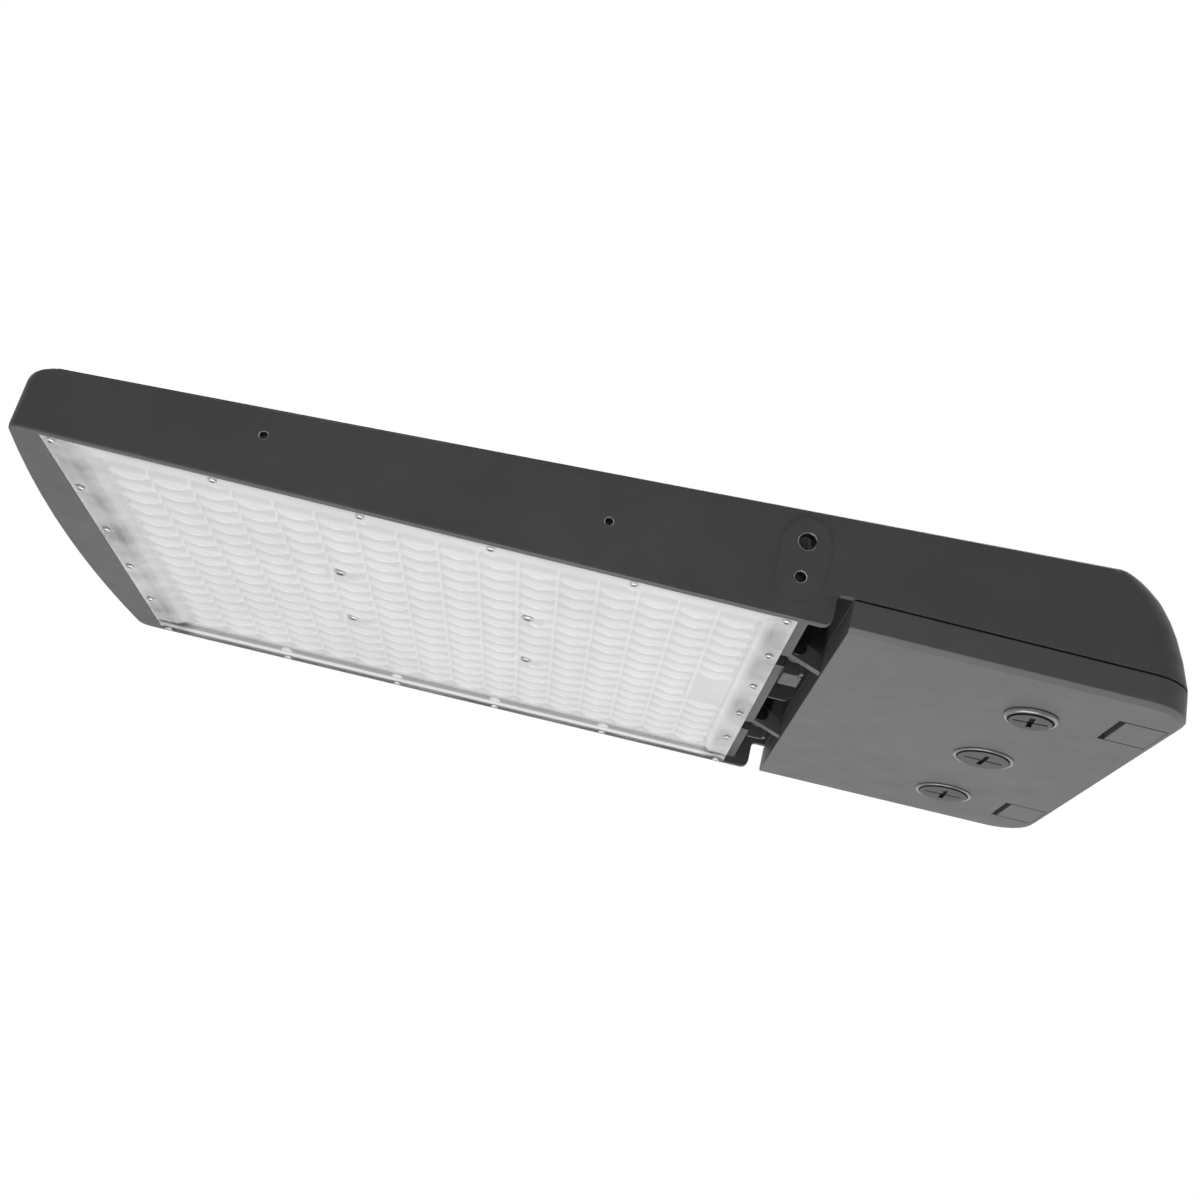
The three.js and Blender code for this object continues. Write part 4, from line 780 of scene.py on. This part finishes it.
stainless = metal("stainless_steel", steel_dark, steel_light, 0.28, 0.42)
screw_line = lens_high.y - flange_screw_inset
flange_places = [
    (lens_low.x + setback, side * screw_line) for setback in flange_screw_setbacks for side in (-1, 1)]
flange_places += [
    (lens_low.x + setback, screw_line * (step * row_step_share - 1))
    for setback in (flange_screw_setbacks[0], flange_screw_setbacks[-1]) for step in range(1, 5)]
for i, (x, y) in enumerate(flange_places, 1):
    screw = pan_screw(f"flange_screw_{i}", x, y, lens_low.z, **flange_screw)
    finish_piece(screw, stainless, "housing_body", "steel")
for i, (x, y) in enumerate(screw_places, 1):
    node = f"lens_screw_{i}"
    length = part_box(node)[1].z - field_z
    screw = pan_screw(f"field_screw_{i}", x, y, field_z - field_screw_sunk, length=length, **field_screw)
    finish_piece(screw, stainless, "housing_body", "steel", node)

# Gear on its tray: the tray is bent from zinc-plated sheet and hangs on four cast posts.
# It carries the driver in a drawn aluminium case, the surge protector, and the terminal block,
# whose five poles each have a clamp screw in a pocket.
zinc_plate = metal("zinc_plate", (0.34, 0.36, 0.37), (0.47, 0.49, 0.5), 0.36, 0.5)
drawn_case = metal("drawn_aluminium", (0.46, 0.47, 0.48), (0.56, 0.57, 0.58), 0.42, 0.54, (0.1, 1, 1))
green_dye = metal("green_dyed_steel", (0.02, 0.15, 0.04), (0.05, 0.25, 0.08), 0.35, 0.5)
plastic_scales = (60, 200, 1200)
plastic_relief = (0.2, 0.06 * mm)
terminal_edge = 0.25 * mm
terminal_poles = 5
pole_groove = 0.9 * mm
pocket_gap = 0.4 * mm
pocket_cut = 6 * mm
clamp_screw = {"head": 2.3 * mm, "height": 1.2 * mm, "shank": 1.1 * mm, "length": 3 * mm}
clamp_sunk = 0.7 * mm
gear_screw_height = 2.2 * mm
gear_screw_shank = 1.95 * mm


def plastic(name, dark, light, rough_low=0.4, rough_high=0.55):
    return grained(name, (dark, light), (rough_low, rough_high), plastic_scales, plastic_relief)


def cut_out(piece, cutter):
    add_modifier(piece, "BOOLEAN", operation="DIFFERENCE", object=cutter, solver="EXACT")
    bpy.data.objects.remove(cutter)


def box_cutter(place, size, turn=0):
    bpy.ops.mesh.primitive_cube_add(size=1, location=place, rotation=(0, 0, turn))
    return new_piece("cutter", size)


black_plastic = plastic("black_moulding", (0.014, 0.015, 0.016), (0.022, 0.023, 0.024))
white_plastic = plastic("white_moulding", (0.72, 0.72, 0.69), (0.8, 0.8, 0.77))

for node, name, material, slot, edge in (
    ("gear_tray", "sheet_tray", zinc_plate, "zinc_plate", 0.2 * mm),
    ("driver", "driver_case", drawn_case, "driver_case", 0.4 * mm),
    ("surge_protector", "surge_case", black_plastic, "black_plastic", 0.8 * mm),
):
    piece = cad_copy(node, name)
    break_edges(piece, edge, clamp=True)
    finish_piece(piece, material, "housing_body", slot, node)

low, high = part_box("terminal_block")
middle = (low + high) / 2
pole_pitch = (high.y - low.y) / terminal_poles
terminal = cad_copy("terminal_block", "terminal_moulding")
for pole in range(terminal_poles):
    y = low.y + (pole + 0.5) * pole_pitch
    bpy.ops.mesh.primitive_cylinder_add(
        vertices=32, radius=clamp_screw["head"] + pocket_gap, depth=pocket_cut, location=(middle.x, y, low.z))
    cut_out(terminal, new_piece("pocket"))
    if pole:
        groove_size = (high.x - low.x, pole_groove, 2 * pole_groove)
        cut_out(terminal, box_cutter((middle.x, y - pole_pitch / 2, low.z), groove_size))
    seat = low.z + clamp_sunk + clamp_screw["height"]
    clamp = pan_screw(f"clamp_screw_{pole + 1}", middle.x, y, seat, **clamp_screw)
    finish_piece(clamp, stainless, "housing_body", "steel")
break_edges(terminal, terminal_edge, clamp=True)
finish_piece(terminal, white_plastic, "housing_body", "white_plastic", "terminal_block")

gear_screws = ["driver_screw_front", "driver_screw_rear", "ground_screw"]
for node in [f"tray_screw_{i}" for i in range(1, 5)] + gear_screws:
    low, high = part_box(node)
    middle = (low + high) / 2
    screw = pan_screw(
        node + "_pan", middle.x, middle.y, low.z + gear_screw_height, (high.x - low.x) / 2,
        gear_screw_height, gear_screw_shank, high.z - low.z - gear_screw_height)
    finish, slot = (green_dye, "green_screw") if node == "ground_screw" else (stainless, "steel")
    finish_piece(screw, finish, "housing_body", slot, node)

# Wires: stranded copper in plain insulation. Two come from the boards through a rubber bush,
# and the others join the driver, the surge protector and the earth screw to the terminals.
red_wire = ("red_wire", (0.3, 0.015, 0.012), (0.42, 0.03, 0.02))
black_wire = ("black_wire", (0.007, 0.007, 0.007), (0.014, 0.014, 0.014))
wire_colours = {
    "led_lead_plus": red_wire,
    "surge_lead": red_wire,
    "led_lead_minus": black_wire,
    "mains_lead_live": black_wire,
    "mains_lead_neutral": ("white_wire", (0.64, 0.64, 0.61), (0.76, 0.76, 0.73)),
    "ground_lead": ("green_wire", (0.02, 0.15, 0.04), (0.05, 0.23, 0.07)),
}
for node, (slot, dark, light) in wire_colours.items():
    wire = cad_copy(node, node + "_insulation")
    add_modifier(wire, "SUBSURF", levels=1, render_levels=1)
    smooth(50)
    finish_piece(wire, plastic(node + "_sleeve", dark, light, 0.3, 0.42), "housing_body", slot, node)
dress("wire_bush", black_rubber)

# Door: a cast tray in the same powder coat, with a chamfer round its lower edge, two hinge arms,
# three threaded entries and two windows for the latches. Its coat is painted lighter than the housing's:
# painted light that stands in for the stronger light on its bottom.
door_painted_lit_dark = (0.115, 0.116, 0.118)
door_painted_lit_light = (0.13, 0.131, 0.134)
door_edge = 0.4 * mm

door = cad_copy("door", "cast_door")
break_edges(door, door_edge)
door_paint = powder_coat("door_powder_coat_painted_lighter", door_painted_lit_dark, door_painted_lit_light)
finish_piece(door, door_paint, "door_body", "door_paint", "door")
dress("door_gasket", black_rubber)

# Hinge pins: turned steel pins with a flat head, blackened against glare and rust.
# Each goes through an arm of the door into its cradle.
pin_head_radius = 5 * mm
pin_head_length = 1.5 * mm
pin_radius = 3 * mm
pin_edge = 0.4 * mm
blackened = metal("blackened_steel", (0.045, 0.046, 0.048), (0.08, 0.081, 0.083), 0.36, 0.48)
for side in ("near", "far"):
    node = f"hinge_pin_{side}"
    low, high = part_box(node)
    middle = (low + high) / 2
    bpy.ops.mesh.primitive_cylinder_add(
        vertices=40, radius=pin_head_radius, depth=pin_head_length,
        location=(middle.x, low.y + pin_head_length / 2, middle.z), rotation=(math.radians(90), 0, 0))
    pin = new_piece(f"turned_pin_{side}")
    select_parts(pin, "FACE", lambda face: face.normal.y > flat_share)
    bpy.ops.mesh.inset(thickness=pin_head_radius - pin_radius)
    bpy.ops.mesh.extrude_region_move(
        TRANSFORM_OT_translate={"value": (0, high.y - low.y - pin_head_length, 0)})
    bpy.ops.object.mode_set(mode="OBJECT")
    break_edges(pin, pin_edge, segments=3)
    finish_piece(pin, blackened, "door_body", "steel", node)

# Latches: cast slides, flush with the door, on a bent guide strap. A coil spring drives each one out,
# and its hook snaps over a spring clip on the housing.
latch_share = 0.948
latch_edge = 0.25 * mm
guide_edge = 0.2 * mm
keeper_edge = 0.15 * mm
spring_wire = 0.45 * mm
spring_turns = 6
turn_steps = 20
spring_steel = metal("spring_steel", (0.36, 0.37, 0.38), (0.5, 0.51, 0.52), 0.25, 0.36)
for side in ("near", "far"):
    latch = cad_copy(f"latch_{side}", f"latch_slide_{side}")
    low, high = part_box(f"latch_{side}")
    bpy.ops.object.mode_set(mode="EDIT")
    bpy.ops.mesh.select_all(action="SELECT")
    bpy.ops.transform.resize(value=(1, latch_share, 1), center_override=(low + high) / 2)
    bpy.ops.object.mode_set(mode="OBJECT")
    break_edges(latch, latch_edge)
    # The slides take the door's coat, which is painted lighter as painted light.
    finish_piece(latch, door_paint, f"latch_{side}_body", "door_paint", f"latch_{side}")
    guide = cad_copy(f"latch_guide_{side}", f"guide_strap_{side}")
    break_edges(guide, guide_edge)
    finish_piece(guide, zinc_plate, "door_body", "zinc_plate", f"latch_guide_{side}")
    keeper = cad_copy(f"latch_keeper_{side}", f"spring_clip_{side}")
    break_edges(keeper, keeper_edge)
    finish_piece(keeper, spring_steel, "housing_body", "spring_steel", f"latch_keeper_{side}")

    low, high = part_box(f"latch_spring_{side}")
    middle = (low + high) / 2
    coil_radius = (high.z - low.z) / 2 - spring_wire
    bpy.ops.mesh.primitive_circle_add(
        vertices=10, radius=spring_wire, location=(low.x + spring_wire, middle.y, middle.z + coil_radius),
        rotation=(math.radians(90), 0, 0))
    spring = new_piece(f"coil_spring_{side}")
    spring.data.transform(Matrix.Translation(-middle))
    add_modifier(
        spring, "SCREW", axis="X", iterations=spring_turns, steps=turn_steps, render_steps=turn_steps,
        screw_offset=(high.x - low.x - 2 * spring_wire) / spring_turns, use_smooth_shade=True)
    spring.data.transform(Matrix.Translation(middle))
    select_rim(spring)
    bpy.ops.mesh.edge_face_add()
    bpy.ops.mesh.select_all(action="SELECT")
    bpy.ops.mesh.normals_make_consistent(inside=False)
    bpy.ops.object.mode_set(mode="OBJECT")
    smooth(50)
    finish_piece(spring, spring_steel, "door_body", "spring_steel", f"latch_spring_{side}")

# Closure plugs: zinc castings with a ring groove, a coin slot and a fine line across, each screwed into
# an entry of the door on a rubber seal. The enamel is glossy on the ring, and duller and darker on the face.
# The slot and the line are painted near-black as painted shade for their depth.
plug_turns = {"near": -8, "middle": 1, "far": -4}
plug_rims = {"near": 3.2 * mm, "middle": 1.5 * mm, "far": 1.5 * mm}
plug_threads = {"near": 13.4 * mm, "middle": 16.7 * mm, "far": 16.7 * mm}
plug_seat_gap = 0.3 * mm
rim_wall = 1.6 * mm
rim_round_share = 0.75
rim_taper_share = 0.4
groove_width = 0.9 * mm
groove_depth = 0.7 * mm
thread_count = 6
thread_share = 0.94
slot_width = 3.4 * mm
slot_length_share = 1.2
slot_cut = 7 * mm
line_width = 1.9 * mm
line_length_share = 1.5
line_cut = 6 * mm
recess_depth = 0.4 * mm
face_margin = 0.3 * mm
plug_edge = 0.15 * mm
plug_paint = powder_coat("plug_enamel", (0.12, 0.121, 0.123), (0.14, 0.141, 0.143), 0.2, 0.28)
plug_shader = plug_paint.node_tree.nodes["Principled BSDF"]
plug_shader.inputs["Specular IOR Level"].default_value = 0.9
plug_shader.inputs["Coat Weight"].default_value = 0.5
plug_shader.inputs["Coat Roughness"].default_value = 0.15
face_paint = powder_coat("plug_face_coat", (0.07, 0.071, 0.073), (0.084, 0.085, 0.087))
# Near-black painted shade for the inside of the slot and the line.
recess_painted_shade = powder_coat("plug_recess_painted_shade", (0.012, 0.012, 0.013), (0.018, 0.018, 0.019), 0.7, 0.8)

door_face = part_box("latch_near")[0].z
seat = door_face - plug_seat_gap
for side, turn_degrees in plug_turns.items():
    node = f"entry_plug_{side}"
    low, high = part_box(node)
    middle = (low + high) / 2
    radius = (high.y - low.y) / 2
    rim = plug_rims[side]
    ring = rim - plug_seat_gap
    bpy.ops.mesh.primitive_cylinder_add(
        vertices=72, radius=radius, depth=ring, location=(middle.x, middle.y, seat - ring / 2))
    plug = new_piece(f"closure_plug_{side}")
    select_flat(plug, -1)
    bpy.ops.mesh.bevel(offset=ring * rim_round_share, segments=4, affect="EDGES")
    bpy.ops.object.mode_set(mode="OBJECT")
    select_flat(plug, -1)
    bpy.ops.mesh.inset(thickness=rim_wall - ring * rim_taper_share)
    bpy.ops.mesh.extrude_region_move(TRANSFORM_OT_translate={"value": (0, 0, groove_depth)})
    bpy.ops.mesh.inset(thickness=groove_width)
    bpy.ops.mesh.extrude_region_move(
        TRANSFORM_OT_translate={"value": (0, 0, low.z - (door_face - rim) - groove_depth)})
    bpy.ops.object.mode_set(mode="OBJECT")
    select_parts(
        plug, "FACE", lambda face: face.normal.z > flat_share and face.center.z > seat - near_enough)
    bpy.ops.mesh.inset(thickness=radius - plug_threads[side])
    for share in (thread_share, 1 / thread_share) * thread_count:
        bpy.ops.mesh.extrude_region_move(
            TRANSFORM_OT_translate={"value": (0, 0, (high.z - seat) / (2 * thread_count))})
        bpy.ops.transform.resize(value=(share, share, 1), center_override=(middle.x, middle.y, 0))
    bpy.ops.object.mode_set(mode="OBJECT")
    disc = radius - rim_wall - groove_width
    cut_place = (middle.x, middle.y, low.z)
    cut_turn = math.radians(turn_degrees)
    cut_out(plug, box_cutter(cut_place, (slot_width, disc * slot_length_share, slot_cut), cut_turn))
    cut_out(plug, box_cutter(cut_place, (disc * line_length_share, line_width, line_cut), cut_turn))
    break_edges(plug, plug_edge, angle=40)
    finish_piece(plug, plug_paint, "door_body", "plug_paint", node)
    plug.data.materials.append(face_paint)
    plug.data.materials.append(recess_painted_shade)
    # Faces in the slot and the line, deeper than the recess depth, take the black painted shade; the rest of
    # the disc takes the face coat.
    for face in plug.data.polygons:
        if (face.center - middle).xy.length < disc + face_margin and face.center.z < seat:
            face.material_index = 2 if face.center.z > low.z + recess_depth else 1
    dress(f"plug_seal_{side}", black_rubber)

low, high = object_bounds()
